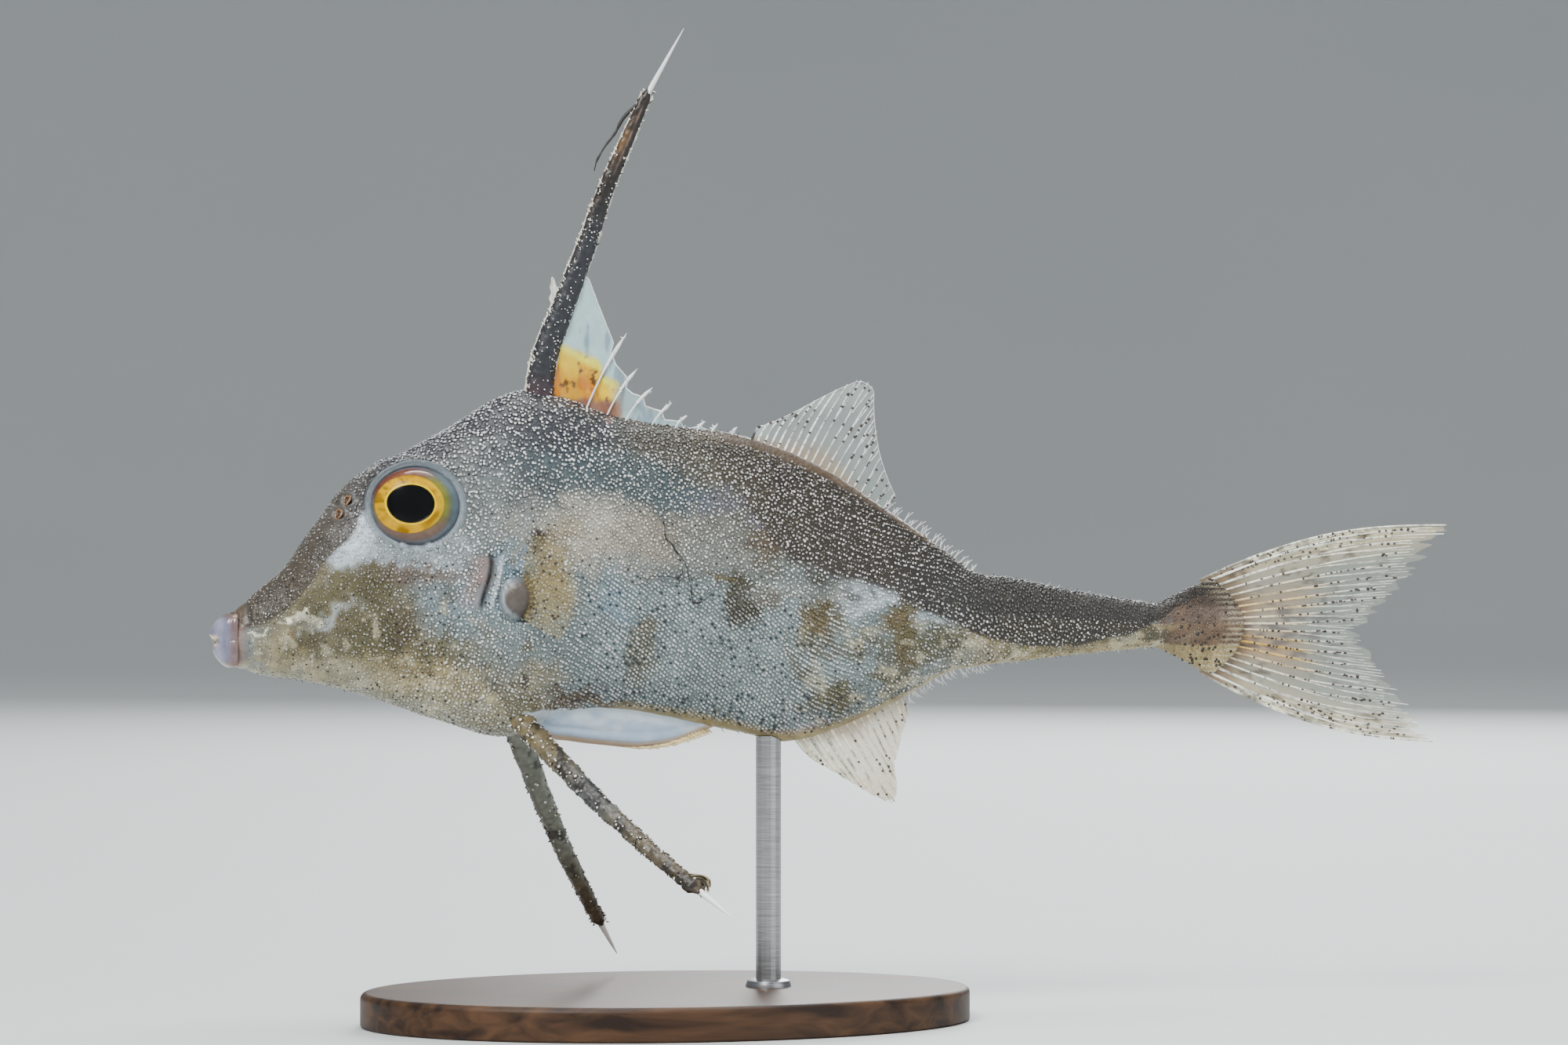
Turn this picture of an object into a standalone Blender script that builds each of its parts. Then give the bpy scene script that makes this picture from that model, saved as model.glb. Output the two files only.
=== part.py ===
"""Long-tail tripodfish, a life-size still model on a small display stand.

Lengths are in millimetres in the tables below and become metres where a mesh is made.
x runs from the tip of the snout to the tail, y to the fish's right side and z up from the
body's axis, so the left side, at minus y, is the one that faces a viewer who looks along +y.
"""

import math
import random

import bmesh
import bpy
import numpy as np
from mathutils import Matrix, Vector

MM = 0.001
GAP = 0.3
WELD = 0.0004
AXIS_HEIGHT = 58.5
SNOUT_X = -53.6
SEED = 11

# outlines of the body seen from the side, as (x, z)
BACK = (
    (3.0, -10.2), (5.4, -8.1), (9.0, -4.9), (12.0, -0.6), (15.7, 4.1), (21.2, 7.4),
    (26.7, 10.3), (36.3, 15.2), (41.0, 14.6), (46.0, 12.8), (54.8, 11.2), (62.0, 10.3),
    (72.4, 6.3), (79.1, 2.1), (87.2, -3.5), (90.6, -5.9), (94.5, -6.5), (103.3, -8.2),
    (113.0, -9.7),
)
BELLY = (
    (3.0, -16.6), (6.0, -17.5), (11.4, -18.3), (18.7, -20.2), (27.8, -23.2), (34.0, -24.8),
    (37.0, -24.3), (41.0, -22.6), (50.3, -22.3), (55.1, -23.2), (61.0, -24.3), (68.5, -25.7),
    (73.9, -24.2), (81.5, -20.9), (88.0, -17.5), (92.0, -16.9), (103.3, -15.6), (113.0, -14.8),
)
# half the body's width, as (x, y)
BREADTH = (
    (3.0, 2.5), (6.0, 3.3), (12.0, 4.6), (18.0, 5.7), (24.0, 6.5), (31.0, 7.5), (38.0, 7.7),
    (46.0, 7.2), (56.0, 6.2), (66.0, 5.2), (76.0, 4.2), (86.0, 3.1), (92.0, 2.6), (103.0, 2.2),
    (113.0, 1.9),
)
# how high up a section is widest, and how sharp its upper half is, both along x
WIDEST = ((3.0, 0.5), (12.0, 0.6), (23.0, 0.66), (30.0, 0.56), (42.0, 0.47), (70.0, 0.52), (113.0, 0.5))
SHARPNESS = ((3.0, 1.0), (14.0, 0.85), (23.0, 0.72), (30.0, 0.95), (37.0, 1.2), (85.0, 1.15), (113.0, 1.0))
SECTION_SIDES = 24
HEAD_START = BACK[0][0]
HEAD_END = 33.6
TRUNK_END = 88.0
STALK_END = 113.0
HEAD_STEPS = 20
TRUNK_STEPS = 19
STALK_STEPS = 7

# mouth
LIP_SPREAD = 1.65
LIP_THICK = 0.95
LIP_SLIMS = 0.15
LIP_STEPS = 12
LIP_SIDES = 10
UPPER_LIP = {"height": -12.0, "tall": 1.35, "front": 0.0}
LOWER_LIP = {"height": -15.3, "tall": 1.25, "front": 0.45}
MOUTH_HOLLOW = {"at": (3.0, 0.0, -13.7), "radii": (1.7, 1.7, 1.0)}

# eyes, nostrils and gills
EYE = {"x": 23.1, "z": 2.0, "long": 5.25, "tall": 4.65, "deep": 3.1, "stands_out": 1.35}
EYE_LOOKS = (-0.12, 1.0, 0.08)
ORBIT_RIM = {"long": 5.65, "tall": 5.05, "thick": 0.5}
ORBIT_SWELL = (6.9, 2.3, 6.0)
ORBIT_SUNK = 1.9
NOSTRILS = ((15.35, 2.1), (14.2, 0.4))
NOSTRIL_RIM = 0.55
GILL = {"x": 28.3, "z": -6.1, "long": 3.4, "tall": 3.7, "deep": 0.8, "slit": 0.34, "arc": 46, "tilt": -0.13}

# first dorsal spine: the middle of its skin sleeve as (x, z), and its sizes
SPINE_LINE = ((38.3, 12.5), (38.8, 18.0), (41.5, 25.7), (44.0, 32.3), (46.2, 38.6),
              (48.7, 44.4), (51.0, 49.6), (53.4, 54.0), (55.6, 57.9))
SPINE_SLEEVE_SHARE = 0.83
SPINE_LONG = 3.5
SPINE_TOP = 1.25
SPINE_NEEDLE = 0.62
SPINE_FLAT = 0.68
BARB_LONG = 0.85
BARB_THICK = 0.3
BARB_SUNK = 0.4

# web behind the first dorsal spine, and the six spines in it as (root x, root z, tip x, tip z)
WEB_FRONT = ((38.2, 12.0, 43.2, 29.2), (39.8, 12.0, 44.4, 28.5), (41.3, 12.0, 45.3, 26.6),
             (42.6, 12.0, 46.2, 23.6))
WEB_SPINES = ((44.0, 13.2, 48.9, 22.2), (46.3, 12.4, 50.2, 18.0), (49.0, 11.6, 51.8, 15.9),
              (52.3, 10.6, 54.2, 14.1), (54.8, 10.0, 56.2, 12.5), (57.0, 9.6, 58.3, 11.9))
WEB_DIPS = ((45.3, 12.0, 48.8, 18.7), (47.7, 12.0, 50.4, 16.2), (50.7, 11.0, 52.3, 14.2),
            (53.6, 10.0, 54.6, 12.8), (56.0, 9.6, 56.7, 11.6))
WEB_SPINE_HALF = 0.5
WEB_SPINE_REACH = 0.45

# soft fins of the back and belly: margin from the front tip to the rear, as (x, z)
MEMBRANE = 0.27
RAY_RISE = 0.22
SOFT_DORSAL = {
    "rays": 20, "rows": 6, "base": (63.4, 79.0), "sink": 1.3, "bow": 0.5,
    "margin": ((77.3, 16.6), (78.5, 15.4), (78.4, 12.1), (79.0, 8.2), (79.9, 5.2), (81.2, 2.9)),
}
ANAL_FIN = {
    "rays": 16, "rows": 5, "base": (68.3, 81.6), "sink": 1.3, "bow": -0.4,
    "margin": ((80.0, -32.9), (81.3, -32.3), (80.8, -28.7), (81.0, -26.9), (81.6, -25.0),
               (82.6, -22.9)),
}

# tail
TAIL_ROOT = {"x": 123.6, "round": 4.0, "z": -12.4, "half": 5.7}
TAIL_FORK = (138.3, -12.9)
TAIL_UPPER = {"long": 11.6, "tall": 12.4, "power": 0.8}
TAIL_LOWER = {"long": 9.9, "tall": 13.4, "power": 1.12}
TAIL_RAYS = 7
TAIL_ROWS = 7
TAIL_BOW = 2.0
TAIL_FORK_SHARE = 0.45
TAIL_EDGE_RISE = 0.12
TAIL_MIDDLE = 0.028

# paired fins and spines
PECTORAL = {"x": 34.9, "z": -8.7, "rays": 13, "rows": 5, "root": 1.7, "long": 8.8,
            "low": -24, "high": 62, "spread_out": 50, "cup": 0.8}
PECTORAL_LOBE = (1.6, 1.3, 2.1)
PELVIC_ROOT = (35.6, 2.3, -22.6)
PELVIC_TIPS = {"left": (55.9, -27.5, -44.3), "right": (51.6, 22.0, -52.3)}
PELVIC_BEND = (-0.65, 0.0, -0.5)
PELVIC_THICK = 2.95
PELVIC_TOP = 1.7
PELVIC_SLEEVE_SHARE = 0.865
PELVIC_FLAT = 0.8
KEEL = {"start": 39.9, "end": 58.6, "half": 2.3, "end_half": 0.7, "top": -19.5}
KEEL_EDGE = ((39.9, -25.1), (42.0, -25.6), (46.0, -26.0), (52.0, -26.3), (56.0, -25.6), (58.6, -24.6))

# stand
BASE_LONG = 36.0
BASE_WIDE = 24.0
BASE_THICK = 4.0
BASE_BEVEL = 0.8
ROD_X = 65.7
ROD_RADIUS = 1.5
ROD_HOLE = 2.6

COLOURS = {
    "skin": (0.30, 0.31, 0.29), "lip": (0.42, 0.45, 0.52), "eye": (0.55, 0.42, 0.16),
    "spine": (0.16, 0.16, 0.15), "web": (0.80, 0.62, 0.25), "fin": (0.72, 0.72, 0.66),
    "keel": (0.66, 0.72, 0.80), "wood": (0.13, 0.08, 0.05), "steel": (0.55, 0.55, 0.55),
}


def curve_through(points, at):
    """Height of the smooth curve through points, given as (x, value), at one x."""
    xs = [p[0] for p in points]
    vs = [p[1] for p in points]
    i = min(max(int(np.searchsorted(xs, at)) - 1, 0), len(xs) - 2)
    slopes = [(vs[k + 1] - vs[k]) / (xs[k + 1] - xs[k]) for k in range(len(xs) - 1)]

    def lean(k):
        if k == 0 or k == len(xs) - 1:
            return slopes[min(k, len(slopes) - 1)]
        before, after = xs[k] - xs[k - 1], xs[k + 1] - xs[k]
        return (slopes[k - 1] * after + slopes[k] * before) / (before + after)

    wide = xs[i + 1] - xs[i]
    t = min(max((at - xs[i]) / wide, 0.0), 1.0)
    return ((2 * t**3 - 3 * t**2 + 1) * vs[i] + (t**3 - 2 * t**2 + t) * wide * lean(i)
            + (3 * t**2 - 2 * t**3) * vs[i + 1] + (t**3 - t**2) * wide * lean(i + 1))


def path_point(points, share):
    """Point at a share of the way along a smooth path through points of any size."""
    steps = [math.dist(a, b) for a, b in zip(points, points[1:])]
    lengths = [0.0]
    for step in steps:
        lengths.append(lengths[-1] + step)
    at = share * lengths[-1]
    size = len(points[0])
    return Vector([curve_through([(s, p[k]) for s, p in zip(lengths, points)], at) for k in range(size)])


def breadth_at(x, z, grow=0.0):
    """Half the body's width at this place on its side."""
    top = curve_through(BACK, x) + grow
    bottom = curve_through(BELLY, x) - grow
    wide = bottom + (top - bottom) * curve_through(WIDEST, x)
    s = (z - wide) / ((top - wide) if z > wide else (wide - bottom))
    c = math.sqrt(max(1 - s * s, 0.0))
    return (curve_through(BREADTH, x) + grow) * c ** (curve_through(SHARPNESS, x) if z > wide else 1.0)


def body_side(x, z, side):
    """Point on the body's side, and the direction straight out of the skin there."""
    step = 0.05
    y = breadth_at(x, z)
    lean_x = (breadth_at(x + step, z) - breadth_at(x - step, z)) / (2 * step)
    lean_z = (breadth_at(x, z + step) - breadth_at(x, z - step)) / (2 * step)
    return Vector((x, side * y, z)), Vector((-lean_x, side, -lean_z)).normalized()


def body_ring(x, grow=0.0, sides=SECTION_SIDES):
    """One section across the body."""
    top = curve_through(BACK, x) + grow
    bottom = curve_through(BELLY, x) - grow
    wide = bottom + (top - bottom) * curve_through(WIDEST, x)
    half = curve_through(BREADTH, x) + grow
    ring = []
    for k in range(sides):
        c, s = math.cos(math.tau * k / sides), math.sin(math.tau * k / sides)
        power = curve_through(SHARPNESS, x) if s > 0 else 1.0
        y = half * math.copysign(abs(c) ** power, c)
        ring.append(Vector((x, y, wide + s * ((top - wide) if s > 0 else (wide - bottom)))))
    return ring


def finish_mesh(bm, name):
    """Turn a finished bmesh in millimetres into an object in metres."""
    bmesh.ops.triangulate(bm, faces=bm.faces)
    bmesh.ops.recalc_face_normals(bm, faces=bm.faces)
    bmesh.ops.scale(bm, vec=(MM, MM, MM), verts=bm.verts)
    mesh = bpy.data.meshes.new(name)
    bm.to_mesh(mesh)
    bm.free()
    obj = bpy.data.objects.new(name, mesh)
    parts.objects.link(obj)
    return obj


def loft(name, rings, point=None):
    """A closed body through rings of the same count, ending in a flat cap or in one point."""
    bm = bmesh.new()
    rows = [[bm.verts.new(p) for p in ring] for ring in rings]
    count = len(rings[0])
    for a, b in zip(rows, rows[1:]):
        for k in range(count):
            bm.faces.new((a[k], a[(k + 1) % count], b[(k + 1) % count], b[k]))
    bm.faces.new(rows[0])
    if point is None:
        bm.faces.new(rows[-1])
    else:
        tip = bm.verts.new(point)
        for k in range(count):
            bm.faces.new((rows[-1][k], rows[-1][(k + 1) % count], tip))
    return finish_mesh(bm, name)


def body_length(name, start, end, steps, grow=0.0):
    """A length of the body between two flat ends."""
    return loft(name, [body_ring(start + (end - start) * i / steps, grow) for i in range(steps + 1)])


def plate(name, columns, rows, place, half_thickness):
    """A thin form whose two faces are split into the same triangles."""
    bm = bmesh.new()
    step = 0.01
    faces = {1: [], -1: []}
    for i in range(columns):
        for side in faces:
            faces[side].append([])
        for j in range(rows):
            u, t = i / (columns - 1), j / (rows - 1)
            across = place(min(u + step, 1), t) - place(max(u - step, 0), t)
            along = place(u, min(t + step, 1)) - place(u, max(t - step, 0))
            out = across.cross(along).normalized()
            for side in faces:
                faces[side][i].append(bm.verts.new(place(u, t) + out * side * half_thickness(i, u, t)))
    for side, grid in faces.items():
        for i in range(columns - 1):
            for j in range(rows - 1):
                a, b, c, d = grid[i][j], grid[i + 1][j], grid[i + 1][j + 1], grid[i][j + 1]
                bm.faces.new((a, b, c)[::side])
                bm.faces.new((a, c, d)[::side])
    border = [(i, 0) for i in range(columns)] + [(columns - 1, j) for j in range(1, rows)]
    border += [(i, rows - 1) for i in range(columns - 2, -1, -1)] + [(0, j) for j in range(rows - 2, 0, -1)]
    for (i, j), (k, m) in zip(border, border[1:] + border[:1]):
        front, back = faces[1], faces[-1]
        bm.faces.new((front[i][j], back[i][j], back[k][m]))
        bm.faces.new((front[i][j], back[k][m], front[k][m]))
    return finish_mesh(bm, name)


def ellipsoid(name, centre, radii, facing=None, segments=16, rings=10):
    """A ball stretched along x, y and z, turned so that its y axis looks along facing."""
    bm = bmesh.new()
    bmesh.ops.create_uvsphere(bm, u_segments=segments, v_segments=rings, radius=1.0)
    bmesh.ops.rotate(bm, matrix=Matrix.Rotation(math.pi / 2, 3, "X"), verts=bm.verts)
    bmesh.ops.scale(bm, vec=radii, verts=bm.verts)
    if facing is not None:
        turn = Vector((0, math.copysign(1, facing.y), 0)).rotation_difference(facing).to_matrix()
        bmesh.ops.rotate(bm, matrix=turn, verts=bm.verts)
    bmesh.ops.translate(bm, vec=centre, verts=bm.verts)
    return finish_mesh(bm, name)


def ring_tube(name, centre, radii, thick, facing, arc=(0.0, 360.0), segments=24, sides=5):
    """A tube bent round an oval that looks along facing: a whole ring, or an arc of it."""
    turn = Vector((0, math.copysign(1, facing.y), 0)).rotation_difference(facing).to_matrix()
    whole = arc[1] - arc[0] >= 360
    bm = bmesh.new()
    rows = []
    for i in range(segments if whole else segments + 1):
        a = math.radians(arc[0] + (arc[1] - arc[0]) * i / segments)
        out = Vector((math.cos(a), 0, math.sin(a)))
        middle = Vector((radii[0] * out.x, 0, radii[1] * out.z))
        ring = []
        for k in range(sides):
            b = math.tau * k / sides
            p = middle + out * thick * math.cos(b) + Vector((0, thick * math.sin(b), 0))
            ring.append(bm.verts.new(turn @ p + Vector(centre)))
        rows.append(ring)
    pairs = list(zip(rows, rows[1:])) + ([(rows[-1], rows[0])] if whole else [])
    for a, b in pairs:
        for k in range(sides):
            bm.faces.new((a[k], a[(k + 1) % sides], b[(k + 1) % sides], b[k]))
    if not whole:
        bm.faces.new(rows[0])
        bm.faces.new(rows[-1])
    return finish_mesh(bm, name)


def keep_largest(obj):
    """Keep only the largest closed surface of a mesh."""
    bm = bmesh.new()
    bm.from_mesh(obj.data)
    bmesh.ops.dissolve_degenerate(bm, dist=WELD * MM, edges=bm.edges)
    unseen, shells = set(bm.faces), []
    while unseen:
        shell, waiting = set(), [unseen.pop()]
        while waiting:
            face = waiting.pop()
            shell.add(face)
            for edge in face.edges:
                for other in edge.link_faces:
                    if other in unseen:
                        unseen.discard(other)
                        waiting.append(other)
        shells.append(shell)
    shells.sort(key=lambda s: sum(f.calc_area() for f in s))
    scraps = [f for shell in shells[:-1] for f in shell]
    if scraps:
        bmesh.ops.delete(bm, geom=scraps, context="FACES")
    bm.to_mesh(obj.data)
    bm.free()


def settle(obj):
    """Make a node's modifiers part of its mesh."""
    graph = bpy.context.evaluated_depsgraph_get()
    made = bpy.data.meshes.new_from_object(obj.evaluated_get(graph))
    old = obj.data
    obj.modifiers.clear()
    obj.data = made
    bpy.data.meshes.remove(old)
    keep_largest(obj)


def join(obj, pieces, operation="UNION"):
    """Fuse pieces with a node, or cut them out of it, and remove them."""
    group = bpy.data.collections.new("joined")
    cutters.children.link(group)
    for piece in pieces:
        parts.objects.unlink(piece)
        group.objects.link(piece)
    step = obj.modifiers.new("join", "BOOLEAN")
    step.operation = operation
    step.operand_type = "COLLECTION"
    step.collection = group
    step.solver = "EXACT"
    settle(obj)
    for piece in pieces:
        bpy.data.objects.remove(piece)
    bpy.data.collections.remove(group)


def clear_of_body(obj):
    """Cut a piece that grows from the body so that it meets the skin with the gap."""
    join(obj, [body_length("clearance", HEAD_START - 0.5, STALK_END, 60, GAP)], "DIFFERENCE")


def make_head():
    """The head, with its sockets, rims, nostrils, gill flaps and the hollow of the mouth."""
    head = body_length("head", HEAD_START, HEAD_END - GAP / 2, HEAD_STEPS)
    added, cut = [], []
    for side in (-1, 1):
        place, out = eye_seat(side)
        added.append(ellipsoid("swell", place - out * ORBIT_SUNK, ORBIT_SWELL, out, 16, 8))
        added.append(ring_tube("rim", place - out * 0.15, (ORBIT_RIM["long"], ORBIT_RIM["tall"]),
                               ORBIT_RIM["thick"], out, segments=20))
        cut.append(eye_ball("socket", side, GAP))
        for x, z in NOSTRILS:
            place, out = body_side(x, z, side)
            added.append(ring_tube("rim", place, (NOSTRIL_RIM, NOSTRIL_RIM), 0.2, out, segments=8, sides=4))
            cut.append(ellipsoid("hole", place, (0.36, 0.8, 0.36), out, 7, 4))
        place, out = body_side(GILL["x"], GILL["z"], side)
        out = (out + Vector((GILL["tilt"], 0, 0))).normalized()
        added.append(ellipsoid("flap", place - out * 0.25, (GILL["long"], GILL["deep"], GILL["tall"]), out,
                               16, 8))
        slit_arc = (-GILL["arc"], GILL["arc"])
        cut.append(ring_tube("slit", place + out * 0.1, (GILL["long"] + 0.05, GILL["tall"] + 0.05),
                             GILL["slit"], out, slit_arc, 8))
    join(head, added)
    cut.append(ellipsoid("hollow", MOUTH_HOLLOW["at"], MOUTH_HOLLOW["radii"], None, 14, 10))
    join(head, cut, "DIFFERENCE")
    return head


def eye_seat(side):
    """Middle of an eye on the skin, and the direction that it looks in."""
    place, out = body_side(EYE["x"], EYE["z"], side)
    return place, Vector((EYE_LOOKS[0], side * EYE_LOOKS[1], EYE_LOOKS[2])).normalized()


def eye_ball(name, side, grow=0.0):
    """An eyeball set in its socket, a little proud of the skin."""
    place, out = eye_seat(side)
    centre = place - out * (EYE["deep"] - EYE["stands_out"])
    radii = (EYE["long"] + grow, EYE["deep"] + grow, EYE["tall"] + grow)
    return ellipsoid(name, centre, radii, out, 20, 12)


def make_lip(name, lip):
    """One lip, a soft roll round the front of the mouth with its ends against the head."""
    back = HEAD_START - GAP
    reach = back - LIP_THICK - lip["front"]
    rings = []
    for i in range(LIP_STEPS + 1):
        share = i / LIP_STEPS * 2 - 1
        turn = math.pi / 2 * share
        out = Vector((-math.cos(turn), math.sin(turn), 0))
        centre = Vector((back - reach * math.cos(turn), LIP_SPREAD * math.sin(turn), lip["height"]))
        slim = 1 - LIP_SLIMS * share * share
        rings.append([centre + out * LIP_THICK * slim * math.cos(math.tau * k / LIP_SIDES)
                      + Vector((0, 0, lip["tall"] * slim * math.sin(math.tau * k / LIP_SIDES)))
                      for k in range(LIP_SIDES)])
    return loft(name, rings)


def spine_rings(line, width_at, flat, sides=10, steps=16):
    """Rings of a tapered spine along a path, wider fore and aft than across."""
    rings = []
    for i in range(steps):
        share = i / steps
        here = line(share)
        ahead = (line(min(share + 0.02, 1)) - line(max(share - 0.02, 0))).normalized()
        across = ahead.cross(Vector((1, 0, 0))).normalized()
        fore = across.cross(ahead).normalized()
        width = width_at(share)
        rings.append([here + fore * (width / 2 * math.cos(math.tau * k / sides))
                      + across * (width / 2 * flat * math.sin(math.tau * k / sides)) for k in range(sides)])
    return rings


def barbs(line, width_at, flat, start, end, count, draw, rear_from):
    """Small hooked barbs along both edges of a spine, on the rear one only from a share of its length."""
    made = []
    for i in range(count):
        share = start + (end - start) * (i + draw.uniform(-0.3, 0.3)) / (count - 1)
        here = line(share)
        ahead = (line(min(share + 0.02, 1)) - line(max(share - 0.02, 0))).normalized()
        across = ahead.cross(Vector((1, 0, 0))).normalized()
        fore = across.cross(ahead).normalized()
        rear = 1 if draw.random() < 0.5 and share > rear_from else -1
        width = width_at(share)
        swing = draw.uniform(-0.5, 0.5)
        out = (fore * rear * math.cos(swing) + across * math.sin(swing)).normalized()
        edge = here + fore * rear * width / 2 * math.cos(swing)
        edge += across * width / 2 * flat * math.sin(swing)
        lean = (out + ahead * draw.uniform(0.5, 0.9)).normalized()
        long = BARB_LONG * draw.uniform(0.75, 1.25)
        root = edge - lean * BARB_SUNK
        aside = lean.cross(across).normalized()
        over = lean.cross(aside)
        ring = [root + (aside * math.cos(math.tau * k / 5) + over * math.sin(math.tau * k / 5)) * BARB_THICK
                for k in range(5)]
        made.append(loft("barb", [ring], root + lean * (BARB_SUNK + long)))
    return made


def dorsal_line(share):
    """Middle of the first dorsal spine."""
    p = path_point(SPINE_LINE, share)
    return Vector((p.x, 0, p.y))


def sleeve_width(share, full, top, needle, sleeve):
    """Width of a spine: a sleeve of skin that tapers, then a bare needle."""
    if share <= sleeve:
        return full + (top - full) * (share / sleeve) ** 0.9
    return needle * (1 - 0.6 * (share - sleeve) / (1 - sleeve))


def dorsal_width(share):
    """Width of the first dorsal spine, fore and aft."""
    return sleeve_width(share, SPINE_LONG, SPINE_TOP, SPINE_NEEDLE, SPINE_SLEEVE_SHARE)


def make_dorsal_spine(name, grow=0.0):
    """The first dorsal spine, without its barbs."""
    return loft(name, spine_rings(dorsal_line, lambda s: dorsal_width(s) + 2 * grow, SPINE_FLAT, 12, 22),
                dorsal_line(1))


def pelvic_line(side):
    """Middle of a pelvic spine, a slow curve from its root to its tip."""
    sign = -1 if side == "left" else 1
    root = Vector((PELVIC_ROOT[0], sign * PELVIC_ROOT[1], PELVIC_ROOT[2]))
    tip = Vector(PELVIC_TIPS[side])
    bend = Vector(PELVIC_BEND)

    def line(share):
        return root.lerp(tip, share) + bend * math.sin(math.pi * share)

    return line


def pelvic_width(share):
    """Width of a pelvic spine, fore and aft."""
    return sleeve_width(share, PELVIC_THICK, PELVIC_TOP, SPINE_NEEDLE + 0.1, PELVIC_SLEEVE_SHARE)


def make_pelvic_spine(name, side, grow=0.0):
    """A pelvic spine, without its barbs."""
    line = pelvic_line(side)
    return loft(name, spine_rings(line, lambda s: pelvic_width(s) + 2 * grow, PELVIC_FLAT, 12, 22), line(1))


def make_web():
    """The web behind the first dorsal spine, with the short spines that hold it up."""
    lines = [(*ends, MEMBRANE) for ends in WEB_FRONT]
    for k, (x, z, tip_x, tip_z) in enumerate(WEB_SPINES):
        for beside in (-1, 0, 1):
            foot, reach = beside * WEB_SPINE_REACH, beside * WEB_SPINE_REACH * 0.45
            half = MEMBRANE if beside else WEB_SPINE_HALF
            lines.append((x + foot, z, tip_x + reach, tip_z - abs(reach) * 2.4, half))
        if k < len(WEB_DIPS):
            lines.append((*WEB_DIPS[k], MEMBRANE))

    def place(u, t):
        at = u * (len(lines) - 1)
        k = min(int(at), len(lines) - 2)
        x, z, tip_x, tip_z, half = [a + (b - a) * (at - k) for a, b in zip(lines[k], lines[k + 1])]
        return Vector((x + (tip_x - x) * t, 0, z + (tip_z - z) * t))

    def thickness(i, u, t):
        return MEMBRANE + (lines[i][4] - MEMBRANE) * (1 - 0.6 * t)

    web = plate("spinous_dorsal_fin", len(lines), 5, place, thickness)
    clear_of_body(web)
    join(web, [make_dorsal_spine("clearance", GAP)], "DIFFERENCE")
    return web


def ray_ridge(i, u, t):
    """Half thickness of a soft fin, where every second column is a ray."""
    return MEMBRANE + (RAY_RISE * (1 - 0.6 * t) if i % 2 == 0 else 0.0)


def make_soft_fin(name, fin, outline, sign):
    """A fin of the back or belly, whose rays sweep back from the body's outline."""

    def place(u, t):
        x = fin["base"][0] + (fin["base"][1] - fin["base"][0]) * u
        root = Vector((x, 0, curve_through(outline, x) - sign * fin["sink"]))
        edge = path_point(fin["margin"], u)
        tip = Vector((edge.x, 0, edge.y))
        return root.lerp(tip, t) + Vector((0, 0, fin["bow"] * math.sin(math.pi * t) * (1 - u)))

    made = plate(name, fin["rays"] * 2 - 1, fin["rows"], place, ray_ridge)
    clear_of_body(made)
    return made


def tail_root(v, gap=0.0):
    """Point on the rounded rear edge of the tail's fleshy base, from -1 below to 1 above."""
    x = TAIL_ROOT["x"] - TAIL_ROOT["round"] * v * v + gap
    return Vector((x, 0, TAIL_ROOT["z"] + TAIL_ROOT["half"] * v))


def tail_margin(v):
    """Point on the forked rear edge of the tail fin."""
    lobe = TAIL_UPPER if v > 0 else TAIL_LOWER
    reach = lobe["long"] * abs(v) ** lobe["power"]
    return Vector((TAIL_FORK[0] + reach, 0, TAIL_FORK[1] + lobe["tall"] * v))


def make_tail_base():
    """The fleshy, scaled foot of the tail fin."""
    start = STALK_END + GAP / 2
    half = curve_through(BREADTH, STALK_END)
    top, bottom = curve_through(BACK, STALK_END), curve_through(BELLY, STALK_END)

    def place(u, t):
        v = 1 - 2 * u
        front = Vector((start, 0, (top + bottom) / 2 + (top - bottom) / 2 * v))
        return front.lerp(tail_root(v), t)

    def thickness(i, u, t):
        v = 1 - 2 * u
        lens = math.sqrt(max(1 - v * v, 0.0))
        return (1 - t) * max(half * lens, 0.25) + t * (0.35 + 0.5 * lens)

    return plate("tail_base", 13, 7, place, thickness)


def make_tail_lobe(name, sign):
    """One lobe of the forked tail fin, with rays that split in two on their way out."""
    last = (TAIL_RAYS - 1) * 4

    def place(u, t):
        v = sign * (1 - u * (1 - TAIL_MIDDLE))
        root, tip = tail_root(v, GAP), tail_margin(v)
        return root.lerp(tip, t) + Vector((0, 0, TAIL_BOW * v * abs(v) * math.sin(math.pi * t)))

    def thickness(i, u, t):
        on_ray = i % 4 == 0 if t < TAIL_FORK_SHARE else i % 2 == 1
        outer = TAIL_EDGE_RISE if i == 0 else 0.0
        inner = i < last - 1
        return MEMBRANE + outer + (RAY_RISE * (1.2 - 0.9 * t) if on_ray and inner else 0.0)

    return plate(name, last + 1, TAIL_ROWS, place, thickness)


def make_pectoral(name, side):
    """A pectoral fin spread from its lobe, out and back from the side."""
    place_at, out = body_side(PECTORAL["x"], PECTORAL["z"], side)
    swing = math.radians(PECTORAL["spread_out"])
    away = Vector((math.cos(swing), side * math.sin(swing), 0))

    def place(u, t):
        a = math.radians(PECTORAL["low"] + (PECTORAL["high"] - PECTORAL["low"]) * u)
        ray = away * math.cos(a) + Vector((0, 0, math.sin(a)))
        long = PECTORAL["long"] * (0.66 + 0.34 * math.sin(math.pi * (0.2 + 0.7 * u)))
        root = place_at + Vector((-0.4, -side * 0.9, PECTORAL["root"] * (u - 0.5) * 2))
        cup = Vector((1, 0, 0)) * PECTORAL["cup"] * t * t * math.sin(math.pi * u)
        return root + ray * long * t + cup

    fin = plate(name, PECTORAL["rays"] * 2 - 1, PECTORAL["rows"], place, ray_ridge)
    join(fin, [ellipsoid("lobe", place_at, PECTORAL_LOBE, out, 14, 8)])
    clear_of_body(fin)
    return fin


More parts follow.
